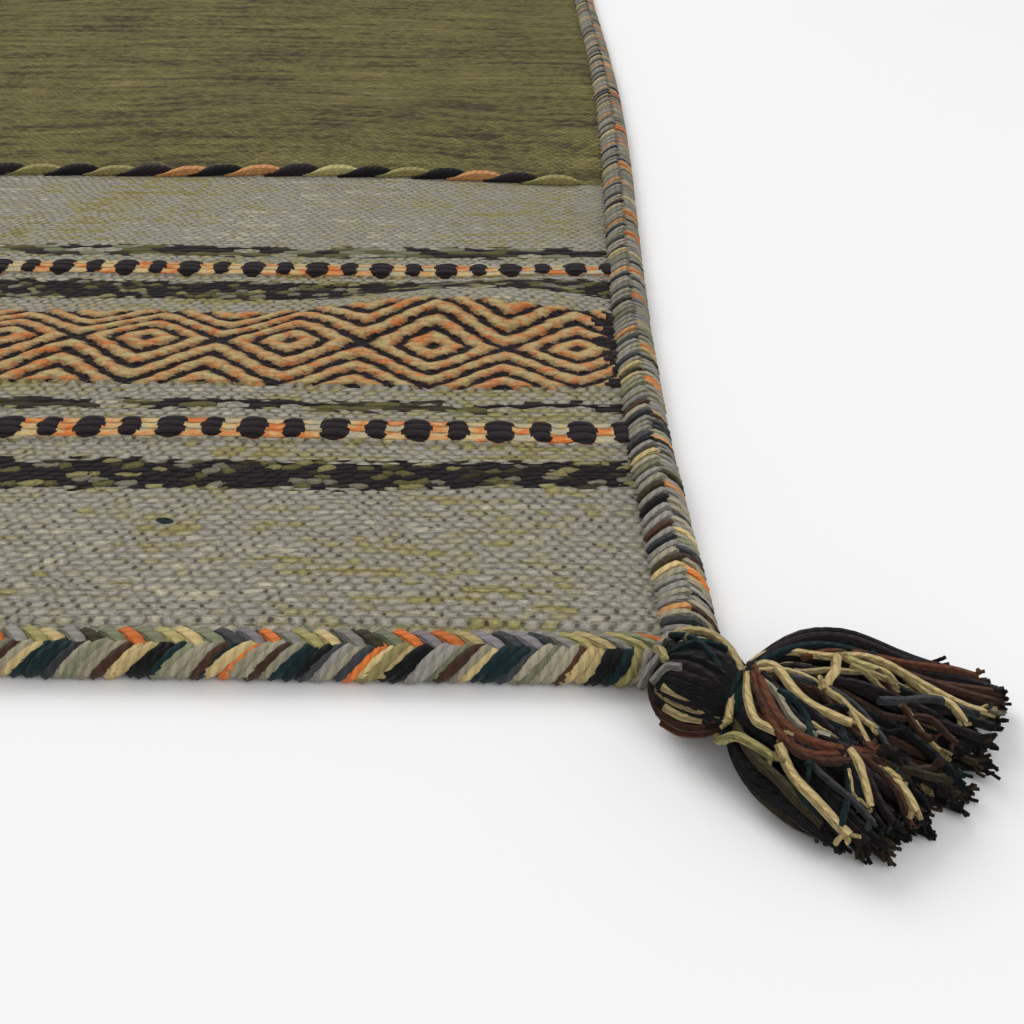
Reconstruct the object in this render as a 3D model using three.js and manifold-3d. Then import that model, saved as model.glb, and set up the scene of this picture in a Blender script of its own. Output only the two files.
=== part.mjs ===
// Kilim rug: a flat-woven cloth with a braided edge along its four sides and a tied
// tassel at each corner. It lies on a floor in a few soft waves.
// Millimetres, +Z up. The origin is on the floor under the middle of the rug, the length
// runs along Y, and the corner at +X, -Y is the front right one.

import * as THREE from 'three';
import * as BufferGeometryUtils from 'three/addons/utils/BufferGeometryUtils.js';
import Module from 'manifold-3d';

// Rug and cloth
const rugWidth = 1200;
const rugLength = 1700;
const clothThickness = 5;
const seam = 0.3;

// Braided edge: how wide it is, and its section from the cloth's edge outward.
// It slopes up from the cloth to a ridge and rolls over to the floor.
const braidWidth = 14;
const braidSection = [
  { out: 0, up: 0 },
  { out: 11.6, up: 0 },
  { out: 13.6, up: 2 },
  { out: 14, up: 4.8 },
  { out: 12, up: 8 },
  { out: 7.2, up: 9.5 },
  { out: 2.4, up: 8.4 },
  { out: 0, up: 6.2 },
];

// Soft waves of the cloth, each a low ridge: its middle, the turn of its crest from the
// X axis in degrees, half its length, half its width and its height.
const waves = [
  { x: 525, y: -642, turn: 14, halfLength: 85, halfWidth: 34, height: 7.6 },
  { x: 350, y: -676, turn: 0, halfLength: 230, halfWidth: 32, height: 3.5 },
  { x: 575, y: -764, turn: 0, halfLength: 60, halfWidth: 30, height: 3 },
  { x: 60, y: -600, turn: -8, halfLength: 200, halfWidth: 100, height: 6 },
  { x: -350, y: -620, turn: 10, halfLength: 190, halfWidth: 110, height: 7 },
  { x: 390, y: -390, turn: -10, halfLength: 170, halfWidth: 100, height: 5 },
  { x: -120, y: -290, turn: 14, halfLength: 300, halfWidth: 130, height: 7 },
  { x: 330, y: -60, turn: -5, halfLength: 230, halfWidth: 120, height: 6 },
  { x: -360, y: 90, turn: 8, halfLength: 200, halfWidth: 120, height: 6 },
  { x: 120, y: 260, turn: 6, halfLength: 320, halfWidth: 130, height: 7 },
  { x: -250, y: 500, turn: -12, halfLength: 250, halfWidth: 120, height: 6 },
  { x: 370, y: 600, turn: 9, halfLength: 190, halfWidth: 110, height: 6 },
];

// Slow wandering of the edges: which one, the place along it, half the length that it
// takes and how far outward it goes there.
const edgeWander = [
  { edge: 'right', at: -850, reach: 110, outward: 4 },
  { edge: 'right', at: -350, reach: 330, outward: 6 },
  { edge: 'right', at: 450, reach: 300, outward: -3 },
  { edge: 'left', at: -260, reach: 400, outward: -4 },
  { edge: 'left', at: 420, reach: 320, outward: 4 },
  { edge: 'front', at: -120, reach: 360, outward: 3 },
  { edge: 'back', at: 180, reach: 340, outward: -4 },
];

// Tassel: where the middle of its head lies at a corner, seen from the rug's side line
// and from its end line, and the turn of its axis away from the end line.
const headInsideSide = 6;
const headBeyondEnd = 10.05;
const tasselTurn = 26;
const roundSegments = 12;
const neckRadius = 7.4;
const neckMiddle = 10.6;

// Tassel body along its axis, from the back of the ball head over the tied neck to the
// root of the skirt: half its width, half its height and the height of its middle.
const tasselBody = [
  { along: -12, halfWidth: 0, halfHeight: 0, middle: 12 },
  { along: -10.4, halfWidth: 6, halfHeight: 6, middle: 12 },
  { along: -6, halfWidth: 10.4, halfHeight: 10.4, middle: 12 },
  { along: 0, halfWidth: 12, halfHeight: 12, middle: 12 },
  { along: 5, halfWidth: 10.8, halfHeight: 10.8, middle: 11.6 },
  { along: 7.6, halfWidth: 8.8, halfHeight: 8.8, middle: 11 },
  { along: 8.6, halfWidth: neckRadius, halfHeight: neckRadius, middle: neckMiddle },
  { along: 12.4, halfWidth: neckRadius, halfHeight: neckRadius, middle: neckMiddle },
  { along: 15.5, halfWidth: 10.8, halfHeight: 9.6, middle: 10.2 },
  { along: 20, halfWidth: 15, halfHeight: 10, middle: 10.4 },
  { along: 24, halfWidth: 18, halfHeight: 10, middle: 10.4 },
  { along: 24.4, halfWidth: 0, halfHeight: 0, middle: 10.4 },
];

// Tie round the neck, a flat ring with bevelled rims
const tieAlong = 10.5;
const tieWidth = 3.2;
const tieThickness = 1.5;
const tieBevel = 0.5;

// Skirt strands: three-sided, thin at the root and thick at the tip. Each layer has its
// number of strands, half its width and its height at the root, its height at the tips,
// the part of the full reach that it takes and half the angle of its fan. Reaches and
// angles are measured from the tie.
const strandRootAlong = 18;
const strandRootRadius = 1.5;
const strandTipRadius = 2.2;
const strandSteps = 3;
const strandBow = 2;
const longReach = 74;
const shortReach = 45;
const reachVariation = 0.05;
const variationTurn = 4;
const strandLayers = [
  { strands: 6, rootHalfWidth: 9, rootHeight: 3, tipHeight: 1.1, reachShare: 1, fanAngle: 33 },
  { strands: 7, rootHalfWidth: 12.6, rootHeight: 7.6, tipHeight: 1.1, reachShare: 0.97, fanAngle: 39 },
  { strands: 6, rootHalfWidth: 12.2, rootHeight: 12.2, tipHeight: 4.9, reachShare: 0.93, fanAngle: 33 },
  { strands: 7, rootHalfWidth: 9.6, rootHeight: 16.6, tipHeight: 4.9, reachShare: 0.88, fanAngle: 39 },
];

const clothHalfWidth = rugWidth / 2 - braidWidth - seam;
const clothHalfLength = rugLength / 2 - braidWidth - seam;

// Grid of the cloth, in stretches from its left edge to its right one and from its front
// edge to its back one. The cells are smaller where the waves are narrow.
const cellsAcross = [
  { to: 0, cells: 9 },
  { to: 260, cells: 5 },
  { to: clothHalfWidth, cells: 17 },
];
const cellsAlong = [
  { to: -570, cells: 17 },
  { to: clothHalfLength, cells: 23 },
];

// Vertices closer than this are one.
const joinDistance = 0.001;

const edgeNormals = {
  right: { x: 1, y: 0 },
  left: { x: -1, y: 0 },
  front: { x: 0, y: -1 },
  back: { x: 0, y: 1 },
};

const wasm = await Module();
wasm.setup();

// A smooth hill of height 1 that starts and ends flat at -1 and 1.
function hill(place) {
  return Math.abs(place) < 1 ? (1 - place * place) ** 2 : 0;
}

// How far the cloth stands off the floor at a place.
function waveHeight(x, y) {
  let height = 0;
  for (const wave of waves) {
    const turn = THREE.MathUtils.degToRad(wave.turn);
    const alongCrest = (x - wave.x) * Math.cos(turn) + (y - wave.y) * Math.sin(turn);
    const acrossCrest = (y - wave.y) * Math.cos(turn) - (x - wave.x) * Math.sin(turn);
    height += wave.height * hill(alongCrest / wave.halfLength) * hill(acrossCrest / wave.halfWidth);
  }
  return height;
}

// Where a point of the straight, level rug lies once its edges wander and its cloth waves.
function laid(x, y, z) {
  const place = new THREE.Vector3(x, y, z + waveHeight(x, y));
  for (const row of edgeWander) {
    const normal = edgeNormals[row.edge];
    const toEdge = (x * normal.x) / (rugWidth / 2) + (y * normal.y) / (rugLength / 2);
    const alongEdge = normal.x === 0 ? x : y;
    const shift = row.outward * hill((alongEdge - row.at) / row.reach) * Math.max(0, toEdge) ** 2;
    place.x += normal.x * shift;
    place.y += normal.y * shift;
  }
  return place;
}

// The places of grid lines from a start through each stretch of cells.
function gridLines(start, stretches) {
  const lines = [start];
  for (const stretch of stretches) {
    const from = lines[lines.length - 1];
    for (let cell = 1; cell <= stretch.cells; cell += 1) {
      lines.push(from + ((stretch.to - from) * cell) / stretch.cells);
    }
  }
  return lines;
}

// Moves every vertex of a geometry with a function that returns its new place.
function moveVertices(geometry, place) {
  const position = geometry.getAttribute('position');
  for (let index = 0; index < position.count; index += 1) {
    const point = place(position.getX(index), position.getY(index), position.getZ(index));
    position.setXYZ(index, point.x, point.y, point.z);
  }
  return geometry;
}

// Keeps only the places of a geometry's vertices and joins those that coincide.
function joinedVertices(geometry) {
  geometry.deleteAttribute('normal');
  geometry.deleteAttribute('uv');
  return BufferGeometryUtils.mergeVertices(geometry, joinDistance);
}

const linesAcross = gridLines(-clothHalfWidth, cellsAcross);
const linesAlong = gridLines(-clothHalfLength, cellsAlong);

function clothGeometry() {
  const columns = linesAcross.length - 1;
  const rows = linesAlong.length - 1;
  const slab = new THREE.BoxGeometry(1, 1, 1, columns, rows, 1);
  moveVertices(slab, (x, y, z) => {
    const column = Math.round((x + 0.5) * columns);
    const row = Math.round((y + 0.5) * rows);
    return laid(linesAcross[column], linesAlong[row], (z + 0.5) * clothThickness);
  });
  return joinedVertices(slab);
}

// One side of the braided edge, with its ends mitred against the next sides.
function braidGeometry(edge) {
  const normal = edgeNormals[edge];
  const runsAcross = normal.x === 0;
  const lines = runsAcross ? linesAcross : linesAlong;
  const halfCloth = runsAcross ? clothHalfWidth : clothHalfLength;
  const halfRun = runsAcross ? rugWidth / 2 : rugLength / 2;
  const halfOut = runsAcross ? rugLength / 2 : rugWidth / 2;
  const stretch = lines.length - 1;
  const shape = new THREE.Shape(braidSection.map((point) => new THREE.Vector2(point.out, point.up)));
  const bar = new THREE.ExtrudeGeometry(shape, { depth: 1, steps: stretch, bevelEnabled: false });
  const heading = normal.y - normal.x;
  const mitreGap = seam * Math.SQRT1_2;
  moveVertices(bar, (out, up, depth) => {
    const inset = braidWidth - out;
    const step = Math.round(depth * stretch);
    const line = heading > 0 ? step : stretch - step;
    const run = (lines[line] / halfCloth) * (halfRun - inset - mitreGap);
    const reach = halfOut - inset;
    return laid(runsAcross ? run : normal.x * reach, runsAcross ? normal.y * reach : run, up);
  });
  return joinedVertices(bar);
}

// A closed form round the tassel's axis, placed by a function of the row, the sideways
// share and the upward share.
function roundForm(profile, place) {
  const points = profile.map((point) => new THREE.Vector2(point.radius, point.along));
  const form = new THREE.LatheGeometry(points, roundSegments);
  moveVertices(form, (x, y, z) => place(y, -x, z));
  return joinedVertices(form);
}

function tasselBodyGeometry() {
  const profile = tasselBody.map((row, index) => ({ radius: row.halfWidth > 0 ? 1 : 0, along: index }));
  return roundForm(profile, (index, sideways, upward) => {
    const row = tasselBody[Math.round(index)];
    return new THREE.Vector3(row.along, sideways * row.halfWidth, row.middle + upward * row.halfHeight);
  });
}

function strandGeometry(layer, index) {
  const side = (2 * index) / (layer.strands - 1) - 1;
  const angle = THREE.MathUtils.degToRad(layer.fanAngle * side);
  const fullReach = THREE.MathUtils.mapLinear(side, -1, 1, shortReach, longReach);
  const variation = reachVariation * Math.sin(layer.rootHeight + variationTurn * index);
  const reach = fullReach * layer.reachShare * (1 + variation);
  const root = new THREE.Vector3(strandRootAlong, layer.rootHalfWidth * side, layer.rootHeight);
  const tip = new THREE.Vector3(
    tieAlong + reach * Math.cos(angle),
    reach * Math.sin(angle),
    layer.tipHeight,
  );
  const heading = new THREE.Vector3(tip.x - root.x, tip.y - root.y, 0).normalize();
  const left = new THREE.Vector3(-heading.y, heading.x, 0);
  const strand = new THREE.CylinderGeometry(strandTipRadius, strandRootRadius, 1, 3, strandSteps);
  moveVertices(strand, (x, y, z) => {
    const share = y + 0.5;
    const fall = THREE.MathUtils.smootherstep(share, 0, 1);
    const point = root.clone().lerp(tip, share);
    point.z = THREE.MathUtils.lerp(root.z, tip.z, fall) + z;
    return point.addScaledVector(left, strandBow * Math.sin(Math.PI * share) - x);
  });
  return joinedVertices(strand);
}

function toSolid(geometry) {
  return new wasm.Manifold(
    new wasm.Mesh({
      numProp: 3,
      vertProperties: new Float32Array(geometry.getAttribute('position').array),
      triVerts: new Uint32Array(geometry.getIndex().array),
    }),
  );
}

function toGeometry(solid) {
  const mesh = solid.getMesh();
  const geometry = new THREE.BufferGeometry();
  geometry.setAttribute('position', new THREE.BufferAttribute(new Float32Array(mesh.vertProperties), 3));
  geometry.setIndex(new THREE.BufferAttribute(new Uint32Array(mesh.triVerts), 1));
  return geometry;
}

function tasselGeometry() {
  let solid = toSolid(tasselBodyGeometry());
  for (const layer of strandLayers) {
    for (let index = 0; index < layer.strands; index += 1) {
      solid = solid.add(toSolid(strandGeometry(layer, index)));
    }
  }
  return toGeometry(solid);
}

// The tie clears the neck all round.
function tieGeometry() {
  const inner = neckRadius + seam;
  const outer = inner + tieThickness;
  const profile = [
    { radius: inner, along: -tieWidth / 2 },
    { radius: outer, along: -tieWidth / 2 + tieBevel },
    { radius: outer, along: tieWidth / 2 - tieBevel },
    { radius: inner, along: tieWidth / 2 },
    { radius: inner, along: -tieWidth / 2 },
  ];
  return roundForm(
    profile,
    (along, sideways, upward) => new THREE.Vector3(tieAlong + along, sideways, neckMiddle + upward),
  );
}

// The same form seen in a mirror across its axis, with its faces still outward.
function mirrored(geometry) {
  const copy = geometry.clone();
  copy.scale(1, -1, 1);
  const order = copy.getIndex();
  for (let corner = 0; corner < order.count; corner += 3) {
    const first = order.getX(corner);
    order.setX(corner, order.getX(corner + 1));
    order.setX(corner + 1, first);
  }
  return copy;
}

function wool(colour, roughness) {
  return new THREE.MeshStandardMaterial({ color: colour, roughness, metalness: 0 });
}

const clothMaterial = wool('#8f8d72', 0.95);
const braidMaterial = wool('#8c8873', 0.9);
const tasselMaterial = wool('#2b2726', 0.9);
const tieMaterial = wool('#1f3d42', 0.85);

const kilimRug = new THREE.Group();
kilimRug.name = 'kilim_rug';

function addPiece(name, geometry, material, parent) {
  geometry.computeVertexNormals();
  const mesh = new THREE.Mesh(geometry, material);
  mesh.name = name;
  parent.add(mesh);
}

addPiece('rug_cloth', clothGeometry(), clothMaterial, kilimRug);
for (const edge of Object.keys(edgeNormals)) {
  addPiece(`braid_${edge}`, braidGeometry(edge), braidMaterial, kilimRug);
}

// The axis turns away from the end line, so a tassel on the left is the mirrored one.
const corners = [
  { name: 'front_right', sideX: 1, sideY: -1 },
  { name: 'front_left', sideX: -1, sideY: -1 },
  { name: 'back_left', sideX: -1, sideY: 1 },
  { name: 'back_right', sideX: 1, sideY: 1 },
];
const tassel = tasselGeometry();
const tie = tieGeometry();
for (const corner of corners) {
  const place = new THREE.Group();
  const handed = corner.sideX * corner.sideY < 0;
  place.position.x = corner.sideX * (rugWidth / 2 - headInsideSide);
  place.position.y = corner.sideY * (rugLength / 2 + headBeyondEnd);
  const turn = THREE.MathUtils.degToRad(tasselTurn) * corner.sideX * corner.sideY;
  place.rotation.z = corner.sideX > 0 ? turn : Math.PI + turn;
  kilimRug.add(place);
  addPiece(`tassel_${corner.name}`, handed ? tassel.clone() : mirrored(tassel), tasselMaterial, place);
  addPiece(`tie_${corner.name}`, handed ? tie.clone() : mirrored(tie), tieMaterial, place);
}

export default kilimRug;
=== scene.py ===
# Kilim rug, its looks: weave, brocaded bands, braided edge and corner tassels.
# Sizes are in millimetres until a mesh is made. The rug is first drawn straight and level,
# and laid() then gives its points their waves and wandering edges.
import math

import bpy
import numpy as np
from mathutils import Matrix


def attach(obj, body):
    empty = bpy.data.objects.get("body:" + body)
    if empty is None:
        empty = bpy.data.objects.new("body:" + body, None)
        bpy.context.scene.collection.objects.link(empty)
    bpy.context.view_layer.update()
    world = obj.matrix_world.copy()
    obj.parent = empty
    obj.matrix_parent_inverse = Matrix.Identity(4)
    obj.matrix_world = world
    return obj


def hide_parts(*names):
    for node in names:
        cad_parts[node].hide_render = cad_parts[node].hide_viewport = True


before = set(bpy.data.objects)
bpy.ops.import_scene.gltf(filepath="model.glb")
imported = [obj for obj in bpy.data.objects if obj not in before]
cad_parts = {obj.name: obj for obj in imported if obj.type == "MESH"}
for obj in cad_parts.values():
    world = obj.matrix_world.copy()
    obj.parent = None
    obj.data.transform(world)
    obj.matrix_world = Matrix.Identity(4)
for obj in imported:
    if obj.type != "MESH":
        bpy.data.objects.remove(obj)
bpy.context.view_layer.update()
mm = 0.001

rug = {
    "width": 1200,
    "length": 1700,
    "thickness": 5,
    "braidWidth": 14,
    "clothInset": 12,      # the cloth runs a little way under the braid
    "cell": 10,            # grid of the cloth
    "cockle": 0.5,         # small unevenness of the hand-woven cloth
    "weftWander": 1.3,     # how far a woven line strays from straight
    "pullFrom": 430,       # from here outward the lines are drawn toward the near end
    "pullWidth": 150,
}

# places in from an end where the long edges draw the woven lines, over what reach and how far
weftPulls = [
    {"down": 365, "reach": 80, "pull": 14},
    {"down": 101, "reach": 17, "pull": 2.8},
]

# soft waves, each a low ridge with its crest turned from the X axis
waves = [
    {"x": 525, "y": -642, "turn": 14, "halfLength": 85, "halfWidth": 34, "height": 7.6},
    {"x": 350, "y": -676, "turn": 0, "halfLength": 230, "halfWidth": 32, "height": 3.5},
    {"x": 575, "y": -764, "turn": 0, "halfLength": 60, "halfWidth": 30, "height": 3},
    {"x": 60, "y": -600, "turn": -8, "halfLength": 200, "halfWidth": 100, "height": 6},
    {"x": -350, "y": -620, "turn": 10, "halfLength": 190, "halfWidth": 110, "height": 7},
    {"x": 390, "y": -390, "turn": -10, "halfLength": 170, "halfWidth": 100, "height": 5},
    {"x": -120, "y": -290, "turn": 14, "halfLength": 300, "halfWidth": 130, "height": 7},
    {"x": 330, "y": -60, "turn": -5, "halfLength": 230, "halfWidth": 120, "height": 6},
    {"x": -360, "y": 90, "turn": 8, "halfLength": 200, "halfWidth": 120, "height": 6},
    {"x": 120, "y": 260, "turn": 6, "halfLength": 320, "halfWidth": 130, "height": 7},
    {"x": -250, "y": 500, "turn": -12, "halfLength": 250, "halfWidth": 120, "height": 6},
    {"x": 370, "y": 600, "turn": 9, "halfLength": 190, "halfWidth": 110, "height": 6},
]

# slow wandering of the four edges
edgeWander = [
    {"edge": "right", "at": -850, "reach": 110, "outward": 4},
    {"edge": "right", "at": -350, "reach": 330, "outward": 6},
    {"edge": "right", "at": 450, "reach": 300, "outward": -3},
    {"edge": "left", "at": -260, "reach": 400, "outward": -4},
    {"edge": "left", "at": 420, "reach": 320, "outward": 4},
    {"edge": "front", "at": -120, "reach": 360, "outward": 3},
    {"edge": "back", "at": 180, "reach": 340, "outward": -4},
]

# outward direction of each edge, and the way round the rug along it
edges = {
    "front": {"out": (0, -1), "along": (1, 0), "run": rug["width"], "reach": rug["length"] / 2},
    "right": {"out": (1, 0), "along": (0, 1), "run": rug["length"], "reach": rug["width"] / 2},
    "back": {"out": (0, 1), "along": (-1, 0), "run": rug["width"], "reach": rug["length"] / 2},
    "left": {"out": (-1, 0), "along": (0, -1), "run": rug["length"], "reach": rug["width"] / 2},
}

# woollen yarns by name, as red, green and blue from 0 to 255
yarns = {
    "beige": (164, 156, 132),
    "stone": (150, 146, 136),
    "straw": (160, 150, 96),
    "moss": (104, 98, 54),
    "cream": (205, 182, 128),
    "butter": (194, 180, 120),
    "orange": (222, 122, 58),
    "peach": (212, 152, 94),
    "plum": (38, 28, 32),
    "black": (20, 18, 20),
    "teal": (20, 42, 44),
    "brown": (78, 52, 38),
    "chestnut": (104, 62, 40),
    "lilac": (146, 138, 140),
    "sage": (134, 136, 106),
    "slate": (62, 64, 66),
    "navy": (30, 36, 62),
    "umber": (62, 54, 34),
}


def linear(name, gain=1.0):
    levels = [channel / 255 for channel in yarns[name]]
    flat = [(c / 12.92 if c <= 0.04045 else ((c + 0.055) / 1.055) ** 2.4) * gain for c in levels]
    return (*flat, 1.0)


# Shapes of the laid rug

def hill(place):
    return np.where(np.abs(place) < 1, (1 - place**2) ** 2, 0)


def lift(x, y):
    height = np.zeros_like(x)
    for wave in waves:
        turn = math.radians(wave["turn"])
        along = (x - wave["x"]) * math.cos(turn) + (y - wave["y"]) * math.sin(turn)
        across = (y - wave["y"]) * math.cos(turn) - (x - wave["x"]) * math.sin(turn)
        height += wave["height"] * hill(along / wave["halfLength"]) * hill(across / wave["halfWidth"])
    return height


def cockle(x, y):
    ripple = np.sin(x / 23 + 1.7 * np.sin(y / 61)) * np.sin(y / 17 + 1.3 * np.sin(x / 47))
    return rug["cockle"] * (1 + ripple) / 2


def laid(points):
    x, y, z = points[:, 0], points[:, 1], points[:, 2]
    up = np.clip(z / rug["thickness"], 0, 1)
    place = np.stack([x, y, z + lift(x, y) + up * cockle(x, y)], axis=1)
    for row in edgeWander:
        out = edges[row["edge"]]["out"]
        toEdge = x * out[0] / (rug["width"] / 2) + y * out[1] / (rug["length"] / 2)
        alongEdge = y if out[0] else x
        shift = row["outward"] * hill((alongEdge - row["at"]) / row["reach"]) * np.maximum(0, toEdge) ** 2
        place[:, 0] += out[0] * shift
        place[:, 1] += out[1] * shift
    return place * mm


def wovenPlace(x, y):
    # where a point lies in the weave: across it, and in from the front edge line
    stray = np.sin(x / 113 + 0.6) * np.cos(y / 71) + 0.5 * np.sin(x / 37 + y / 53)
    toSide = np.clip((np.abs(x) - rug["pullFrom"]) / rug["pullWidth"], 0, None) ** 1.5
    down = rug["length"] / 2 - np.abs(y)
    pull = sum(row["pull"] * hill((down - row["down"]) / row["reach"]) for row in weftPulls)
    fromFront = y + rug["length"] / 2 + rug["weftWander"] * stray - np.sign(y) * toSide * pull
    return x + rug["width"] / 2, fromFront


def lineAt(x, fromFront):
    # the Y at which a woven line crosses each X
    y = fromFront - rug["length"] / 2
    for _ in range(6):
        y = y + fromFront - wovenPlace(x, y)[1]
    return y


# Meshes and objects

def placed(name, data):
    thing = bpy.data.objects.new(name, data)
    bpy.context.scene.collection.objects.link(thing)
    return thing


def meshFrom(name, points, faceSets, place=None):
    # faceSets are arrays of corners, one row a face; place holds a UV for each point
    mesh = bpy.data.meshes.new(name)
    corners = np.concatenate([faces.ravel() for faces in faceSets]).astype(np.int32)
    sizes = np.concatenate([np.full(len(faces), faces.shape[1]) for faces in faceSets])
    starts = np.concatenate([[0], np.cumsum(sizes)[:-1]]).astype(np.int32)
    mesh.vertices.add(len(points))
    mesh.vertices.foreach_set("co", points.astype(np.float32).ravel())
    mesh.loops.add(len(corners))
    mesh.loops.foreach_set("vertex_index", corners)
    mesh.polygons.add(len(sizes))
    mesh.polygons.foreach_set("loop_start", starts)
    mesh.update(calc_edges=True)
    if place is not None:
        layer = mesh.uv_layers.new(name="weave")
        layer.data.foreach_set("uv", place[corners].astype(np.float32).ravel())
    mesh.shade_smooth()
    return mesh


def pieceFrom(mesh, material, nodes=()):
    piece = placed(mesh.name, mesh)
    mesh.materials.clear()
    mesh.materials.append(material)
    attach(piece, "root")
    if nodes:
        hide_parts(*nodes)
    return piece


def gridIndex(columns, rows):
    return np.arange((columns + 1) * (rows + 1)).reshape(rows + 1, columns + 1)


def gridQuads(columns, rows):
    index = gridIndex(columns, rows)
    corners = [index[:-1, :-1], index[:-1, 1:], index[1:, 1:], index[1:, :-1]]
    return np.stack(corners, axis=-1).reshape(-1, 4)


def rimQuads(upper, lower):
    # joins two loops of points, the upper one running counter-clockwise seen from above
    return np.stack([lower, np.roll(lower, -1), np.roll(upper, -1), upper], axis=-1)


def gridRim(columns, rows):
    index = gridIndex(columns, rows)
    return np.concatenate([index[0, :-1], index[:-1, -1], index[-1, :0:-1], index[:0:-1, 0]])


# Shader trees

class Wire:
    # an output socket; an expression on wires adds the Math nodes for it
    def __init__(self, graph, socket):
        self.graph = graph
        self.socket = socket

    def math(self, operation, *values):
        return self.graph.node("ShaderNodeMath", {"operation": operation}, dict(enumerate(values)))

    def __add__(self, other):
        return self.math("ADD", self, other)

    def __radd__(self, other):
        return self.math("ADD", other, self)

    def __sub__(self, other):
        return self.math("SUBTRACT", self, other)

    def __rsub__(self, other):
        return self.math("SUBTRACT", other, self)

    def __mul__(self, other):
        return self.math("MULTIPLY", self, other)

    def __rmul__(self, other):
        return self.math("MULTIPLY", other, self)

    def __truediv__(self, other):
        return self.math("DIVIDE", self, other)

    def __rtruediv__(self, other):
        return self.math("DIVIDE", other, self)

    def __mod__(self, other):
        return self.math("FLOORED_MODULO", self, other)

    def __pow__(self, other):
        return self.math("POWER", self, other)

    def __abs__(self):
        return self.math("ABSOLUTE", self)

    def __lt__(self, other):
        return self.math("LESS_THAN", self, other)

    def __gt__(self, other):
        return self.math("GREATER_THAN", self, other)


class Graph:
    def __init__(self, tree):
        self.tree = tree

    def node(self, kind, settings=None, inputs=None, output=0):
        made = self.tree.nodes.new(kind)
        for name, value in (settings or {}).items():
            if name == "stops":
                self.setStops(made.color_ramp, value)
            else:
                setattr(made, name, value)
        for key, value in (inputs or {}).items():
            if isinstance(value, Wire):
                self.tree.links.new(value.socket, made.inputs[key])
            else:
                made.inputs[key].default_value = value
        return Wire(self, made.outputs[output]) if len(made.outputs) else None

    def setStops(self, ramp, stops):
        while len(ramp.elements) < len(stops):
            ramp.elements.new(1)
        for element, (position, colour) in zip(ramp.elements, stops):
            element.position = position
            element.color = colour

    def mixed(self, share, first, second, blend="MIX"):
        settings = {"data_type": "RGBA", "blend_type": blend}
        return self.node("ShaderNodeMix", settings, {0: share, 6: first, 7: second}, 2)

    def vector(self, x, y, z=0.0):
        return self.node("ShaderNodeCombineXYZ", None, {0: x, 1: y, 2: z})

    def shaded(self, colour, shade):
        return self.mixed(1.0, colour, self.vector(shade, shade, shade), "MULTIPLY")

    def noise(self, place, scale, detail=2.0, rough=0.5):
        inputs = {"Vector": place, "Scale": scale, "Detail": detail, "Roughness": rough}
        return self.node("ShaderNodeTexNoise", {"noise_dimensions": "2D"}, inputs)

    def chance(self, place):
        return self.node("ShaderNodeTexWhiteNoise", {"noise_dimensions": "2D"}, {"Vector": place})

    def ramp(self, value, stops, interpolation="LINEAR"):
        made = self.node("ShaderNodeValToRGB", {"stops": stops}, {0: value})
        made.socket.node.color_ramp.interpolation = interpolation
        return made

    def rise(self, value, low, high):
        inputs = {"Value": value, "From Min": low, "From Max": high}
        return self.node("ShaderNodeMapRange", {"interpolation_type": "SMOOTHSTEP"}, inputs)


def newMaterial(name):
    material = bpy.data.materials.new(name)
    material.use_nodes = True
    material.node_tree.nodes.clear()
    return material, Graph(material.node_tree)


def finishMaterial(graph, colour, roughness, bumps, sheen):
    normal = None
    for height, depth in bumps:
        inputs = {"Height": height, "Distance": depth * mm, "Strength": 1.0}
        if normal is not None:
            inputs["Normal"] = normal
        normal = graph.node("ShaderNodeBump", None, inputs)
    inputs = {
        "Base Color": colour,
        "Roughness": roughness,
        "Normal": normal,
        "Sheen Weight": sheen,
        "Sheen Roughness": 0.6,
        "Specular IOR Level": 0.15,
    }
    shader = graph.node("ShaderNodeBsdfPrincipled", None, inputs)
    graph.node("ShaderNodeOutputMaterial", None, {"Surface": shader})


def eitherWay(operation, plain):
    # a function that works on shader wires and on arrays of numbers alike
    def work(*values):
        first = values[0]
        return first.math(operation, *values) if isinstance(first, Wire) else plain(*values)
    return work


whole = eitherWay("FLOOR", np.floor)
root = eitherWay("SQRT", np.sqrt)
sine = eitherWay("SINE", np.sin)
larger = eitherWay("MAXIMUM", np.maximum)
smaller = eitherWay("MINIMUM", np.minimum)


# The woven pattern. Each band is placed by its distance in from the end's edge line.

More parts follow.
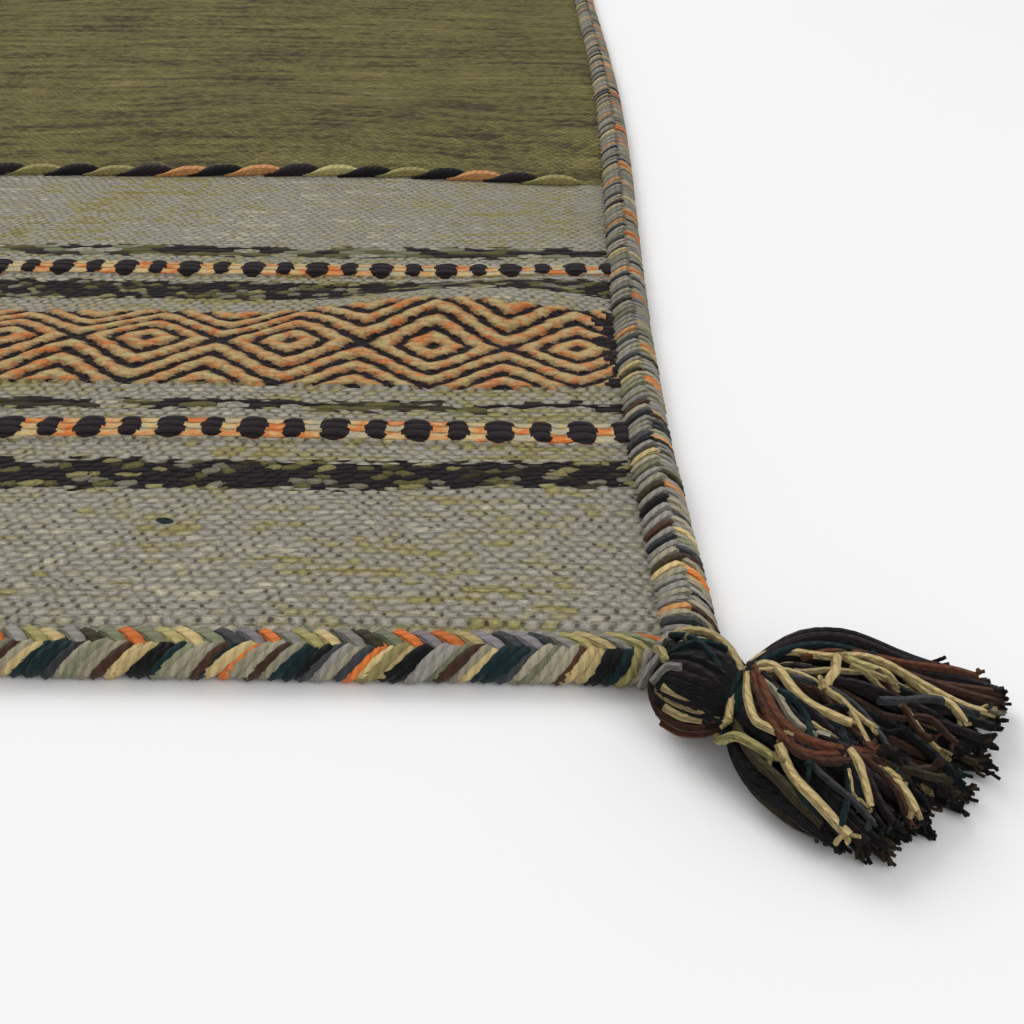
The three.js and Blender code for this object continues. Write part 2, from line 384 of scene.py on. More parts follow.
bands = {
    "endBeads": 20,         # the first rows are coarse, as far in as this
    "nearSpeckle": (81.8, 98),
    "nearDashes": (109.2, 123.2),
    "nearTwine": (130.6, 137.2),
    "diamonds": (147.2, 205.3),
    "farSpeckle": (219, 236),
    "farDashes": (241.5, 253.4),
    "farTwine": (262.6, 273.5),
    "corded": 368,
    "field": 369,
    "diamondPitch": 53.6,
    "diamondAt": 1117.2,    # middle of one diamond across the weave
    "lineAlong": 9.3,       # spacing of the lozenge lines, four to a pitch the other way
    "endPatch": 581,        # the diamonds stop in a dark patch from here to the braid
    "dashPitch": 27.2,
    "dashAt": 1116.2,
    "dashLean": 0.06,
    "longDash": 5.0,        # half length of the long and of the short dashes
    "shortDash": 3.7,
    "dashDepth": 7,         # where a dash is round off, out from the row's middle
    "dashReach": 9,         # the dashes' part of the cloth, and the threads' part
    "threadReach": 5.9,
    "threadPitch": 3.9,
    "paleSides": (560, 584),    # from the middle, where the plain weave turns paler
    "pitShadeFade": (200, 290),    # from the end, where the painted shade in its pits fades out
    "fleck": (1045, 64),        # one stray fleck of dark green wool
    "tooth": 0.5,           # the lines step a little from row to row
    "ragged": 0.55,         # and the dashes end unevenly
    "rowPitch": 2.75,
    "beads": (4.7, 2.75),   # length and row pitch of the beads, here and in the stripes
    "floats": (5.6, 2.7),
    "twine": (12, 3.4),
    "stitches": (6.4, 2.75),
}

# the woven colours: a ramp's position, the yarn and a gain on the yarn's brightness
plainShades = [
    (0.2, "straw", 0.94), (0.36, "straw", 1.2), (0.45, "beige", 1.3), (0.62, "stone", 1.42),
    (0.78, "beige", 1.8),
]
fieldShades = [
    (0.24, "umber", 1.0), (0.38, "umber", 2.3), (0.5, "moss", 1.4), (0.66, "moss", 1.8),
    (0.84, "straw", 1.05),
]
floatShades = [
    (0, "plum", 0.8), (0.55, "umber", 1.0), (0.66, "moss", 1.1), (0.82, "beige", 0.7),
    (0.92, "straw", 0.95),
]
twineShades = [(0, "plum", 0.8), (0.5, "umber", 0.9), (0.7, "moss", 0.9), (0.85, "sage", 0.9)]
threadShades = [(0.36, "beige", 1.3), (0.5, "cream", 1.15), (0.64, "peach", 1.1), (0.76, "orange", 1.0)]
lineShades = [(0.3, "butter", 0.95), (0.42, "cream", 0.92), (0.56, "peach", 0.9), (0.67, "orange", 0.95)]


def shadeRamp(shades):
    return [(position, linear(name, gain)) for position, name, gain in shades]


def tooth(down):
    row = whole(down / bands["rowPitch"])
    return bands["tooth"] * ((row % 2) * 2 - 1)


def ragged(across, down):
    row = whole(down / bands["rowPitch"])
    return bands["ragged"] * sine(row * 2.3 + across * 0.12)


def lozengeGroove(across, down):
    # 0 in the middle of a raised line and 1 in the middle of the groove beside it
    middle = (bands["diamonds"][0] + bands["diamonds"][1]) / 2
    shifted = (across + tooth(down) - bands["diamondAt"]) / bands["diamondPitch"] + 0.5
    sideways = abs(shifted % 1 - 0.5) * 2
    rounded = sideways * 0.6 + sideways * sideways * (3 - 2 * sideways) * 0.4
    away = down - middle
    lines = rounded * 2 + (root(away * away + 2.2) - 1.1) / bands["lineAlong"]
    return abs(lines % 1 - 0.5) * 2


def dashBulge(across, down, middle):
    # the long and the short dashes of a row, each 1 in its middle and 0 outside
    away = down - middle
    leant = across + away * bands["dashLean"] + ragged(across, down)
    shifted = (leant - bands["dashAt"]) / bands["dashPitch"] + 0.5
    toLong = abs(shifted % 1 - 0.5) * bands["dashPitch"]
    toShort = bands["dashPitch"] / 2 - toLong
    square = (away / bands["dashDepth"]) ** 2
    longOne = 1 - (toLong / bands["longDash"]) ** 2 - square * square
    shortOne = 1 - (toShort / bands["shortDash"]) ** 2 - square * square * 1.5
    return larger(larger(longOne, shortOne), longOne * 0)


def beadRow(across, down, pitch, row, half):
    column = whole(across / pitch + half)
    line = whole(down / (2 * row) + half)
    sideways = across / pitch + half - column - 0.5
    away = down / (2 * row) + half - line - 0.5
    height = 1 - (sideways * 1.65) ** 2 - (away * 2.7) ** 2
    pit = 1 - ((0.5 - abs(sideways)) * 5) ** 2 - (away * 6.5) ** 2
    return larger(height, 0), pit, column + half * 0.7, line + half * 0.7


def beads(graph, across, down, pitch, row):
    # weft-faced beads, each row half a bead along from the last, with a pit between two; the pit's mask
    # marks where plainWeave paints shade
    low, lowPit, lowColumn, lowLine = beadRow(across, down, pitch, row, 0)
    high, highPit, highColumn, highLine = beadRow(across, down, pitch, row, 0.5)
    over = high > low
    column = highColumn * over + lowColumn * (1 - over)
    line = highLine * over + lowLine * (1 - over)
    return larger(low, high), graph.vector(column, line), larger(lowPit, highPit)


def inside(value, low, high):
    return (value > low) * (value < high)


# the noises over the cloth, each with its scale and detail, or with its scale across the
# weave and along it, detail and roughness; then the surface of the wool
wool = {
    "wobble": (0.055, 3.0),
    "drift": (0.17, 2.0),
    "patch": (0.012, 3.0),
    "grain": (0.25, 1.6, 3.0, 0.5),
    "fuzz": (0.7, 1.1, 4.0, 0.7),
    "streak": (0.02, 0.24, 3.0, 0.6),
    "rowTone": (0.03, 0.5, 2.0, 0.5),
    "fieldStreak": (0.014, 0.13, 4.0, 0.62),
    "pitLuck": (0.09, 0.22, 3.0, 0.6),
    "threadTone": (0.2, 0.3, 3.0, 0.5),
    "lineTone": (0.11, 0.26, 3.0, 0.6),
    "roughness": 0.95,
    "sheen": 0.05,
    "beadDepth": 3.0,
    "grainDepth": 0.4,
    "fuzzDepth": 0.5,
}


class Weave:
    # the wires that every band of the cloth works from
    def __init__(self, graph):
        self.graph = graph
        place = graph.node("ShaderNodeUVMap", {"uv_map": "weave"})
        self.across = graph.node("ShaderNodeSeparateXYZ", None, {0: place})
        self.fromFront = Wire(graph, self.across.socket.node.outputs[1])
        self.down = smaller(self.fromFront, rug["length"] - self.fromFront)
        self.wobble = graph.noise(place, *wool["wobble"]) - 0.5
        self.drift = graph.noise(place, *wool["drift"]) - 0.5
        self.patch = graph.noise(place, *wool["patch"])
        self.grain = self.stretched("grain")
        self.fuzz = self.stretched("fuzz")

    def stretched(self, name):
        scaleAcross, scaleAlong, detail, rough = wool[name]
        place = self.graph.vector(self.across * scaleAcross, self.fromFront * scaleAlong)
        return self.graph.noise(place, 1.0, detail, rough)


def plainWeave(weave):
    # plain weave, with coarser beads in the first rows
    graph, across, down = weave.graph, weave.across, weave.down
    weave.beadAcross = across + weave.wobble * 7
    coarse = smaller(down, bands["endBeads"]) * 0.58 + larger(down - bands["endBeads"], 0)
    beadDown = coarse + weave.drift * 1.3 + weave.wobble * 2.6
    height, cell, pits = beads(graph, weave.beadAcross, beadDown, *bands["beads"])
    weave.luck = graph.chance(cell)
    streak = weave.stretched("streak")
    rowTone = weave.stretched("rowTone")
    tone = weave.luck * 0.24 + streak * 0.6 + rowTone * 0.4 + weave.patch * 0.5 - 0.35
    plain = graph.ramp(tone, shadeRamp(plainShades))
    weave.toSide = abs(across - rug["width"] / 2) + weave.wobble * 3
    paleness = graph.rise(weave.toSide, *bands["paleSides"]) * 0.5
    plain = graph.mixed(paleness, plain, linear("stone", 1.4))
    # painted shade for the pits between beads: umber, turning navy in the first rows
    toEnd = graph.rise(down, bands["endBeads"] + 1.5, bands["endBeads"] - 1.5)
    pitShadeColour = graph.mixed(toEnd, linear("umber", 1.2), linear("navy", 0.7))

    # olive field with its dark streaks
    fieldStreak = weave.stretched("fieldStreak")
    fieldTone = fieldStreak * 0.85 + weave.luck * 0.22 + weave.patch * 0.35 - 0.2
    field = graph.ramp(fieldTone, shadeRamp(fieldShades))
    fieldEdge = down + weave.drift * 3
    inField = graph.rise(fieldEdge, bands["field"] - 0.8, bands["field"] + 0.8)
    ground = graph.mixed(inField, plain, field)
    # painted shade: the ground darkens toward umber where the beads are low
    paintedLowShade = graph.rise(height, 0.85, 0.0)
    ground = graph.mixed(paintedLowShade * 0.32, ground, linear("umber", 1.5))
    pitLuck = weave.stretched("pitLuck")
    # painted shade in the pits, at random, stronger in the first rows, fading further in and weaker in
    # the field
    pitShade = graph.rise(pits, 0.0, 0.7) * larger(graph.rise(pitLuck, 0.42, 0.66), toEnd * 0.5)
    pitShade = pitShade * (0.9 - graph.rise(down, *bands["pitShadeFade"]) * 0.5)
    return graph.mixed(pitShade * (0.85 - inField * 0.35), ground, pitShadeColour), height


# The next three give where a band is, its colour and its relief.

def stripes(weave):
    # dark speckled stripes, of olive floats on black, and thinner dark rows
    graph, down = weave.graph, weave.down
    floatAcross = weave.beadAcross + weave.drift * 6
    floatHeight, floatCell, _ = beads(graph, floatAcross, down + weave.drift * 3.4, *bands["floats"])
    floats = graph.ramp(graph.chance(floatCell), shadeRamp(floatShades), "CONSTANT")
    floatEdge = graph.rise(floatHeight + (weave.fuzz - 0.5) * 0.8, 0.1, 0.5)
    speckle = graph.mixed(floatEdge, linear("black", 0.9), floats)
    twineAcross = weave.across + weave.wobble * 9
    twineHeight, twineCell, _ = beads(graph, twineAcross, down + weave.wobble * 3, *bands["twine"])
    twineLuck = graph.chance(twineCell)
    twine = graph.ramp(twineLuck, shadeRamp(twineShades), "CONSTANT")
    twine = graph.mixed(graph.rise(twineHeight, 0.05, 0.35), linear("black"), twine)
    edge = down + weave.wobble * 2.4 + (weave.luck - 0.5) * 3.6
    speckled = larger(inside(edge, *bands["nearSpeckle"]), inside(edge, *bands["farSpeckle"]))
    twined = larger(inside(edge, *bands["nearTwine"]), inside(edge, *bands["farTwine"]))
    twined = twined * (twineHeight + (weave.fuzz - 0.5) * 0.4 > 0.06) * (twineLuck > 0.12)
    return (speckled, speckle, floatHeight), (twined, twine, twineHeight)


def dashRows(weave):
    # rows of dashes on cream and orange threads
    graph, across, down = weave.graph, weave.across, weave.down
    nearMiddle = sum(bands["nearDashes"]) / 2
    farMiddle = sum(bands["farDashes"]) / 2
    middle = nearMiddle + (farMiddle - nearMiddle) * (down > bands["diamonds"][0])
    away = down - middle
    bulge = dashBulge(across, down + weave.drift * 0.9, middle)
    row = whole(away / bands["threadPitch"] + 0.5)
    part = away / bands["threadPitch"] - row
    gapCount = whole(across * 2 / bands["dashPitch"])
    luck = graph.chance(graph.vector(row + 0.5, gapCount + 0.5))
    tone = luck * 0.4 + weave.stretched("threadTone") * 0.7
    thread = graph.ramp(tone, shadeRamp(threadShades))
    height = root(larger(1 - (part * 2) ** 2, 0))
    # painted shade: each thread darkens toward chestnut at the edges of its round, where it dips
    thread = graph.mixed(graph.rise(height, 0.7, 0.1) * 0.6, thread, linear("chestnut", 0.8))
    dashed = larger(abs(away + weave.drift * 2) < bands["threadReach"], bulge > 0.05)
    dashed = dashed * inside(away, -bands["dashReach"], bands["dashReach"])
    colour = graph.mixed(graph.rise(bulge, 0.04, 0.16), thread, linear("plum", 0.75))
    return dashed, colour, height


def lozengeBand(weave):
    # nested lozenges, cream and orange lines with dark between
    graph, across, down = weave.graph, weave.across, weave.down
    groove = lozengeGroove(across + weave.wobble * 2.2, down + weave.drift * 1.2)
    tone = weave.stretched("lineTone") + (weave.luck - 0.5) * 0.14
    line = graph.ramp(tone, shadeRamp(lineShades))
    stitchAcross = across + weave.wobble * 3
    height, cell, _ = beads(graph, stitchAcross, down + weave.drift, *bands["stitches"])
    luck = graph.chance(cell)
    line = graph.mixed(luck * 0.45, line, linear("cream", 0.95))
    # painted shade: the lines darken toward chestnut on low stitches and beside the grooves
    stitchShade = graph.rise(height, 0.6, 0.0) * 0.4 + graph.rise(groove, 0.2, 0.6) * 0.5
    line = graph.mixed(stitchShade, line, linear("chestnut", 0.8))
    frayed = groove + (luck - 0.5) * 0.16 + (weave.fuzz - 0.5) * 0.3
    colour = graph.mixed(graph.rise(frayed, 0.6, 0.73), line, linear("plum", 0.75))
    patchEdge = weave.toSide + (luck - 0.5) * 9
    colour = graph.mixed(patchEdge > bands["endPatch"], colour, linear("plum", 0.7))
    inBand = inside(down + (weave.luck - 0.5) * 1.6, *bands["diamonds"])
    return inBand, colour, height


def wovenWool():
    material, graph = newMaterial("wovenWool")
    weave = Weave(graph)
    ground, plainHeight = plainWeave(weave)
    floats, twine = stripes(weave)
    dashes = dashRows(weave)
    lozenges = lozengeBand(weave)
    fleckAcross, fleckDown = bands["fleck"]
    fleckSide = (weave.across + weave.down * 0.5 - fleckAcross - fleckDown * 0.5) / 2.6
    fleck = fleckSide**2 + ((weave.down - fleckDown) / 1.7) ** 2
    colour = ground
    for where, bandColour, _ in (floats, twine, dashes, lozenges):
        colour = graph.mixed(where, colour, bandColour)
    colour = graph.mixed(fleck < 1, colour, linear("teal", 1.2))

    speckled, _, floatHeight = floats
    twined, _, twineHeight = twine
    dashed, _, threadHeight = dashes
    inDiamonds, _, stitchHeight = lozenges
    loose = larger(speckled, twined)
    raised = plainHeight * (1 - loose) + floatHeight * speckled * 1.3 + twineHeight * twined
    stitched = larger(dashed, inDiamonds)
    relief = raised * (1 - stitched) + threadHeight * dashed * 0.5 + stitchHeight * inDiamonds * 0.3
    shade = (0.84 + weave.grain * 0.3) * (0.62 + weave.fuzz * 0.76)
    colour = graph.shaded(colour, shade)
    bumps = [
        (relief, wool["beadDepth"]),
        (weave.grain, wool["grainDepth"]),
        (weave.fuzz, wool["fuzzDepth"]),
    ]
    finishMaterial(graph, colour, wool["roughness"], bumps, wool["sheen"])
    return material


yarnLook = {
    "plies": 3,
    "twist": 0.32,         # turns of a ply in a millimetre
    "plyDepth": 0.4,
    "fibreDepth": 0.35,
    "roughness": 0.92,
    "sheen": 0.06,
}


def spunYarn():
    # for pieces that carry the colour of their yarn and the place along and round it
    material, graph = newMaterial("spunYarn")
    own = graph.node("ShaderNodeAttribute", {"attribute_name": "yarnColour"})
    along = graph.node("ShaderNodeAttribute", {"attribute_name": "along"}, None, 2)
    around = graph.node("ShaderNodeAttribute", {"attribute_name": "around"}, None, 2)
    turns = around * yarnLook["plies"] + along * yarnLook["twist"]
    ply = abs(turns % 1 - 0.5) * 2
    fibre = graph.noise(graph.vector(along * 0.35, around * 9 + along * 1.1), 1.0, 3.0)
    patch = graph.noise(graph.vector(along * 0.3, around * 2), 1.0, 2.0)
    # painted shade: the colour darkens in the grooves between plies; fibre and patch are the wool's own
    # tone
    shade = (0.74 + ply * 0.3) * (0.72 + fibre * 0.4 + patch * 0.2)
    colour = graph.shaded(own, shade)
    bumps = [(ply, yarnLook["plyDepth"]), (fibre, yarnLook["fibreDepth"])]
    finishMaterial(graph, colour, yarnLook["roughness"], bumps, yarnLook["sheen"])
    return material


woolCloth = wovenWool()
woolYarn = spunYarn()
print("materials made")


# Cloth

def clothPiece():
    halfX = rug["width"] / 2 - rug["clothInset"]
    halfY = rug["length"] / 2 - rug["clothInset"]
    columns = round(2 * halfX / rug["cell"])
    rows = round(2 * halfY / rug["cell"])
    x, y = np.meshgrid(np.linspace(-halfX, halfX, columns + 1), np.linspace(-halfY, halfY, rows + 1))
    x, y = x.ravel(), y.ravel()
    top = np.stack([x, y, np.full_like(x, rug["thickness"])], axis=1)
    under = np.stack([x, y, np.zeros_like(x)], axis=1)
    count = len(top)
    faces = gridQuads(columns, rows)
    rim = gridRim(columns, rows)
    place = np.stack(wovenPlace(x, y), axis=1)
    mesh = meshFrom(
        "rugCloth",
        laid(np.concatenate([top, under])),
        [faces, faces[:, ::-1] + count, rimQuads(rim, rim + count)],
        np.concatenate([place, place]),
    )
    return pieceFrom(mesh, woolCloth, ["rug_cloth"])


cloth = clothPiece()
print("cloth woven")


# Brocaded bands: strips of raised floats that stand on the cloth at each end

brocade = {
    "cellAcross": 1.6,
    "cellAlong": 1.2,
    "sunk": 1.2,          # how far a strip's rim lies under the cloth's face
    "lineHeight": 1.7,
    "dashHeight": 1.3,
    "threadHeight": 1.5,
    "margin": 1.3,
}


def stripRelief(kind, across, down, near, far):
    if kind == "diamonds":
        return brocade["lineHeight"] * (1 - lozengeGroove(across, down) ** 2)
    bulge = dashBulge(across, down, (near + far) / 2)
    away = 2 * (down - (near + far) / 2) / (far - near)
    rounded = np.sqrt(np.clip(1 - away**2, 0, 1))
    return brocade["threadHeight"] * rounded + brocade["dashHeight"] * np.sqrt(bulge)


def stripMesh(end, kind, near, far):
    half = rug["width"] / 2 - rug["braidWidth"] + 1
    near, far = near - brocade["margin"], far + brocade["margin"]
    columns = round(2 * half / brocade["cellAcross"])
    rows = round((far - near) / brocade["cellAlong"])
    down = np.linspace(near, far, rows + 1)
    line = down
    if end == "back":
        down = down[::-1]
        line = rug["length"] - down
    x, fromFront = np.meshgrid(np.linspace(-half, half, columns + 1), line)
    x, fromFront = x.ravel(), fromFront.ravel()
    down = np.repeat(down, columns + 1)
    y = lineAt(x, fromFront)
    across = x + rug["width"] / 2
    body = stripRelief(kind, across, down, near, far)
    rimAway = np.minimum(np.minimum(down - near, far - down), half - np.abs(x))
    hold = np.clip(rimAway / brocade["margin"], 0, 1)
    relief = -brocade["sunk"] + hold * (body + brocade["sunk"])
    top = np.stack([x, y, rug["thickness"] + relief], axis=1)
    count = len(top)
    frontRow = np.arange(columns + 1)
    backRow = frontRow + rows * (columns + 1)
    under = top[np.concatenate([frontRow, backRow])].copy()
    under[:, 2] -= brocade["sunk"]
    lowFront = count + np.arange(columns + 1)
    lowBack = lowFront + columns + 1
    leftColumn = np.arange(rows + 1) * (columns + 1)
    rightColumn = leftColumn + columns
    faceSets = [
        gridQuads(columns, rows),
        np.stack([lowFront[:-1], lowBack[:-1], lowBack[1:], lowFront[1:]], axis=-1),
        np.stack([lowFront[:-1], lowFront[1:], frontRow[1:], frontRow[:-1]], axis=-1),
        np.stack([lowBack[1:], lowBack[:-1], backRow[:-1], backRow[1:]], axis=-1),
        np.concatenate([leftColumn, [lowBack[0], lowFront[0]]])[None, :],
        np.concatenate([rightColumn[::-1], [lowFront[-1], lowBack[-1]]])[None, :],
    ]
    drawn = np.stack([across, fromFront], axis=1)
    place = np.concatenate([drawn, drawn[np.concatenate([frontRow, backRow])]])
    return laid(np.concatenate([top, under])), faceSets, place


def bandPiece(end):
    points, faceSets, places, first = [], [], [], 0
    for kind in ("nearDashes", "diamonds", "farDashes"):
        stripPoints, stripFaces, stripPlace = stripMesh(end, kind, *bands[kind])
        points.append(stripPoints)
        places.append(stripPlace)
        faceSets += [faces + first for faces in stripFaces]
        first += len(stripPoints)
    mesh = meshFrom(f"bands_{end}", np.concatenate(points), faceSets, np.concatenate(places))
    return pieceFrom(mesh, woolCloth)


bandPieces = [bandPiece(end) for end in ("front", "back")]
print("bands brocaded")


# Geometry node trees for yarn

def newTree(name, sockets):
    tree = bpy.data.node_groups.new(name, "GeometryNodeTree")
    tree.interface.new_socket("Geometry", in_out="INPUT", socket_type="NodeSocketGeometry")
    for label, kind in sockets.items():
        tree.interface.new_socket(label, in_out="INPUT", socket_type=f"NodeSocket{kind}")
    tree.interface.new_socket("Geometry", in_out="OUTPUT", socket_type="NodeSocketGeometry")
    graph = Graph(tree)
    entry = tree.nodes.new("NodeGroupInput")
    return tree, graph, {socket.name: Wire(graph, socket) for socket in entry.outputs if socket.name}


def finishTree(graph, made, yarn):
    made = graph.node("GeometryNodeRealizeInstances", None, {"Geometry": made})
    made = graph.node("GeometryNodeSetMaterial", None, {"Geometry": made, "Material": yarn})
    graph.node("NodeGroupOutput", None, {"Geometry": made})


def evaluated(piece, tree, values):
    # runs the tree on an object with these inputs and returns the plain mesh that it makes
    modifier = piece.modifiers.new(tree.name, "NODES")
    modifier.node_group = tree
    for item in tree.interface.items_tree:
        if item.in_out == "INPUT" and item.name in values:
            modifier[item.identifier] = values[item.name]
    depsgraph = bpy.context.evaluated_depsgraph_get()
    mesh = bpy.data.meshes.new_from_object(piece.evaluated_get(depsgraph))
    piece.modifiers.remove(modifier)
    return mesh


def spinTree():
    # yarn of a round section along each path, thick as the path's points say
    tree, graph, given = newTree("spinYarn", {"Sides": "Int", "Flatness": "Float", "Yarn": "Material"})
    path = graph.node("GeometryNodeMeshToCurve", None, {"Mesh": given["Geometry"]})
    thick = graph.node("GeometryNodeInputNamedAttribute", {"data_type": "FLOAT"}, {"Name": "thick"})
    path = graph.node("GeometryNodeSetCurveNormal", {"mode": "Z_UP"}, {"Curve": path})
    circle = {"Resolution": given["Sides"], "Radius": 1.0}
    ring = graph.node("GeometryNodeCurvePrimitiveCircle", None, circle)
    place = graph.node("GeometryNodeSplineParameter")
    kind = {"data_type": "FLOAT", "domain": "POINT"}
    stored = {"Geometry": ring, "Name": "around", "Value": place}
    ring = graph.node("GeometryNodeStoreNamedAttribute", kind, stored)
    flat = graph.node("ShaderNodeCombineXYZ", None, {0: 1.0, 1: given["Flatness"], 2: 1.0})
    ring = graph.node("GeometryNodeTransform", None, {"Geometry": ring, "Scale": flat})
    sweep = {"Curve": path, "Profile Curve": ring, "Scale": thick, "Fill Caps": True}
    tube = graph.node("GeometryNodeCurveToMesh", None, sweep)
    finishTree(graph, tube, given["Yarn"])
    return tree


def laceTree():
    # copies of one strand at an even pitch along X, each a little turned and resized
    sockets = dict.fromkeys(["Run", "Pitch", "Turn jitter", "Size jitter"], "Float")
    sockets |= {"Strand": "Object", "Seed": "Int", "Yarn": "Material"}
    tree, graph, given = newTree("laceStrands", sockets)
    row = {
        "Count": given["Run"] / given["Pitch"],
        "Start Location": graph.vector(given["Run"] * -0.5, 0, 0),
        "Offset": graph.vector(given["Pitch"], 0, 0),
    }
    line = graph.node("GeometryNodeMeshLine", None, row)
    strand = graph.node("GeometryNodeObjectInfo", None, {"Object": given["Strand"]}, 4)
    jitter, resize = given["Turn jitter"], given["Size jitter"]
    lowTurn = graph.vector(jitter * -1, jitter * -1, jitter * -1)
    highTurn = graph.vector(jitter, jitter, jitter)
    smallest = graph.vector(1 - resize, 1, 1 - resize * 0.4)
    largest = graph.vector(1 + resize, 1, 1.0)
    kind = {"data_type": "FLOAT_VECTOR"}
    turn = graph.node("FunctionNodeRandomValue", kind, {0: lowTurn, 1: highTurn, 8: given["Seed"]})
    size = graph.node("FunctionNodeRandomValue", kind, {0: smallest, 1: largest, 8: given["Seed"] + 7})
    copies = {"Points": line, "Instance": strand, "Rotation": turn, "Scale": size}
    made = graph.node("GeometryNodeInstanceOnPoints", None, copies)
    number = graph.node("GeometryNodeInputIndex")
    kind = {"data_type": "INT", "domain": "INSTANCE"}
    stored = {"Geometry": made, "Name": "strand", "Value": number}
    made = graph.node("GeometryNodeStoreNamedAttribute", kind, stored)
    finishTree(graph, made, given["Yarn"])
    return tree


spin = spinTree()
lace = laceTree()


def addAttribute(mesh, name, kind, field, values):
    layer = mesh.attributes.new(name, kind, "POINT")
    layer.data.foreach_set(field, np.asarray(values, dtype=np.float32).ravel())


def spunMesh(name, paths, thickness, colours, sides=6, flatness=1.0):
    # paths are equally long lists of points; thickness and colours have an entry for each path
    paths = np.asarray(paths, dtype=float)
    strands, stops = paths.shape[:2]
    points = paths.reshape(-1, 3)
    index = np.arange(strands * stops).reshape(strands, stops)
    pairs = np.stack([index[:, :-1], index[:, 1:]], axis=-1).reshape(-1, 2)
    mesh = bpy.data.meshes.new(name)
    mesh.vertices.add(len(points))
    mesh.vertices.foreach_set("co", points.astype(np.float32).ravel())
    mesh.edges.add(len(pairs))
    mesh.edges.foreach_set("vertices", pairs.astype(np.int32).ravel())
    steps = np.linalg.norm(np.diff(paths, axis=1), axis=2)
    lengths = np.concatenate([np.zeros((strands, 1)), np.cumsum(steps, axis=1)], axis=1)
    thick = np.broadcast_to(np.asarray(thickness, dtype=float), (strands, stops))
    addAttribute(mesh, "along", "FLOAT", "value", lengths)
    addAttribute(mesh, "thick", "FLOAT", "value", thick)
    addAttribute(mesh, "yarnColour", "FLOAT_COLOR", "color", np.repeat(colours, stops, axis=0))
    mesh.update()
    holder = placed(name, mesh)
    made = evaluated(holder, spin, {"Sides": sides, "Flatness": flatness, "Yarn": woolYarn})
    bpy.data.objects.remove(holder)
    bpy.data.meshes.remove(mesh)
    made.name = name
    return made


def meshPoints(mesh):
    flat = np.empty(len(mesh.vertices) * 3, dtype=np.float32)
    mesh.vertices.foreach_get("co", flat)
    return flat.reshape(-1, 3).astype(float)


def setPoints(mesh, points):
    mesh.vertices.foreach_set("co", points.astype(np.float32).ravel())
    mesh.update()


def joined(name, meshes):
    # one mesh from several, with their attributes
    holders = [placed(name, mesh) for mesh in meshes]
    with bpy.context.temp_override(active_object=holders[0], selected_editable_objects=holders):
        bpy.ops.object.join()
    mesh = holders[0].data
    bpy.data.objects.remove(holders[0])
    mesh.name = name
    mesh.shade_smooth()
    return mesh


# Braided edge

braid = {
    "outerPitch": 2.6,
    "innerPitch": {"short": 5.0, "long": 3.5},
    "outerThick": 1.66,
    "innerThick": {"short": 2.2, "long": 1.72},
    "innerFlatness": {"short": 0.8, "long": 1.0},
    "outerSlant": {"short": 1.0, "long": 0.5},
    "innerSlant": {"short": 1.0, "long": 0.68},
    "turnJitter": 0.045,
    "sizeJitter": 0.14,
    "sides": 6,
    "longSideGain": 0.86,
    "cornerGain": 0.32,    # the long sides turn paler toward the corners
    "cornerRun": 60,       # the last stretch, where the strands turn the corner
    "cornerYarns": 160,    # and where some strands of the long sides are darker
    "darkShare": 0.34,
    "strayShare": 0.12,    # strands that are out of the yarns' order
    "lowestGain": 0.72,
    "gainSpread": 0.42,
    "seed": 11,
    "innerSeed": 50,       # added to an edge's seed for its inner row
}

# yarns of the outer and the inner strands in their order; the long sides are paler
shortSide = (
    ["teal", "teal", "teal", "slate", "beige", "sage", "beige", "beige", "brown", "cream", "cream",
     "black", "black", "teal", "sage", "beige", "beige", "brown", "cream", "cream", "orange", "beige",
     "beige", "brown", "beige", "teal", "teal", "black", "slate", "stone", "beige", "slate", "orange",
     "cream", "straw", "cream", "black", "black", "stone", "stone", "sage", "brown", "beige", "cream"],
    ["orange", "lilac", "butter", "cream", "sage", "slate", "lilac",
     "orange", "stone", "straw", "cream", "stone", "umber", "sage"],
)
cornerShades = ["black", "stone", "umber", "beige", "stone", "slate", "cream", "brown", "beige", "stone"]
longSide = (
    ["beige", "beige", "stone", "stone", "peach", "orange", "beige", "sage", "stone", "stone", "beige",
     "umber", "stone", "cream", "orange", "peach", "beige", "beige", "slate", "stone", "sage", "beige",
     "cream", "stone", "lilac", "beige"],
    ["stone", "beige", "stone", "slate", "beige", "peach", "stone", "beige", "stone", "sage", "beige",
     "cream", "umber", "stone", "beige", "slate"],
)

sideYarns = {"short": shortSide, "long": longSide}

# a strand's line: along the edge, inward from the edge line, and up
outerLine = [
    (4.2, 9.0, 5.8), (2.7, 7.6, 7.5), (0.7, 5.8, 8.1), (-2.0, 3.6, 7.3),
    (-4.5, 2.1, 5.7), (-6.4, 1.7, 4.0), (-7.9, 2.4, 2.5), (-8.8, 4.4, 2.1),
]
innerLine = [
    (-4.0, 14.8, 4.6), (-2.9, 13.4, 6.2), (-1.2, 11.6, 7.5), (0.5, 9.8, 8.2),
    (2.2, 8.2, 8.4), (3.6, 6.9, 7.6), (4.5, 5.9, 6.2),
]


def strandHolder(name, line, thick, flatness, slant=1.0):
    line = np.array(line) * [slant, 1, 1]
    fade = np.ones(len(line))
    fade[0] = 0.7
    fade[-1] = 0.7
    mesh = spunMesh(name, [line], thick * fade, [linear("beige")], braid["sides"], flatness)
    return placed(name, mesh)


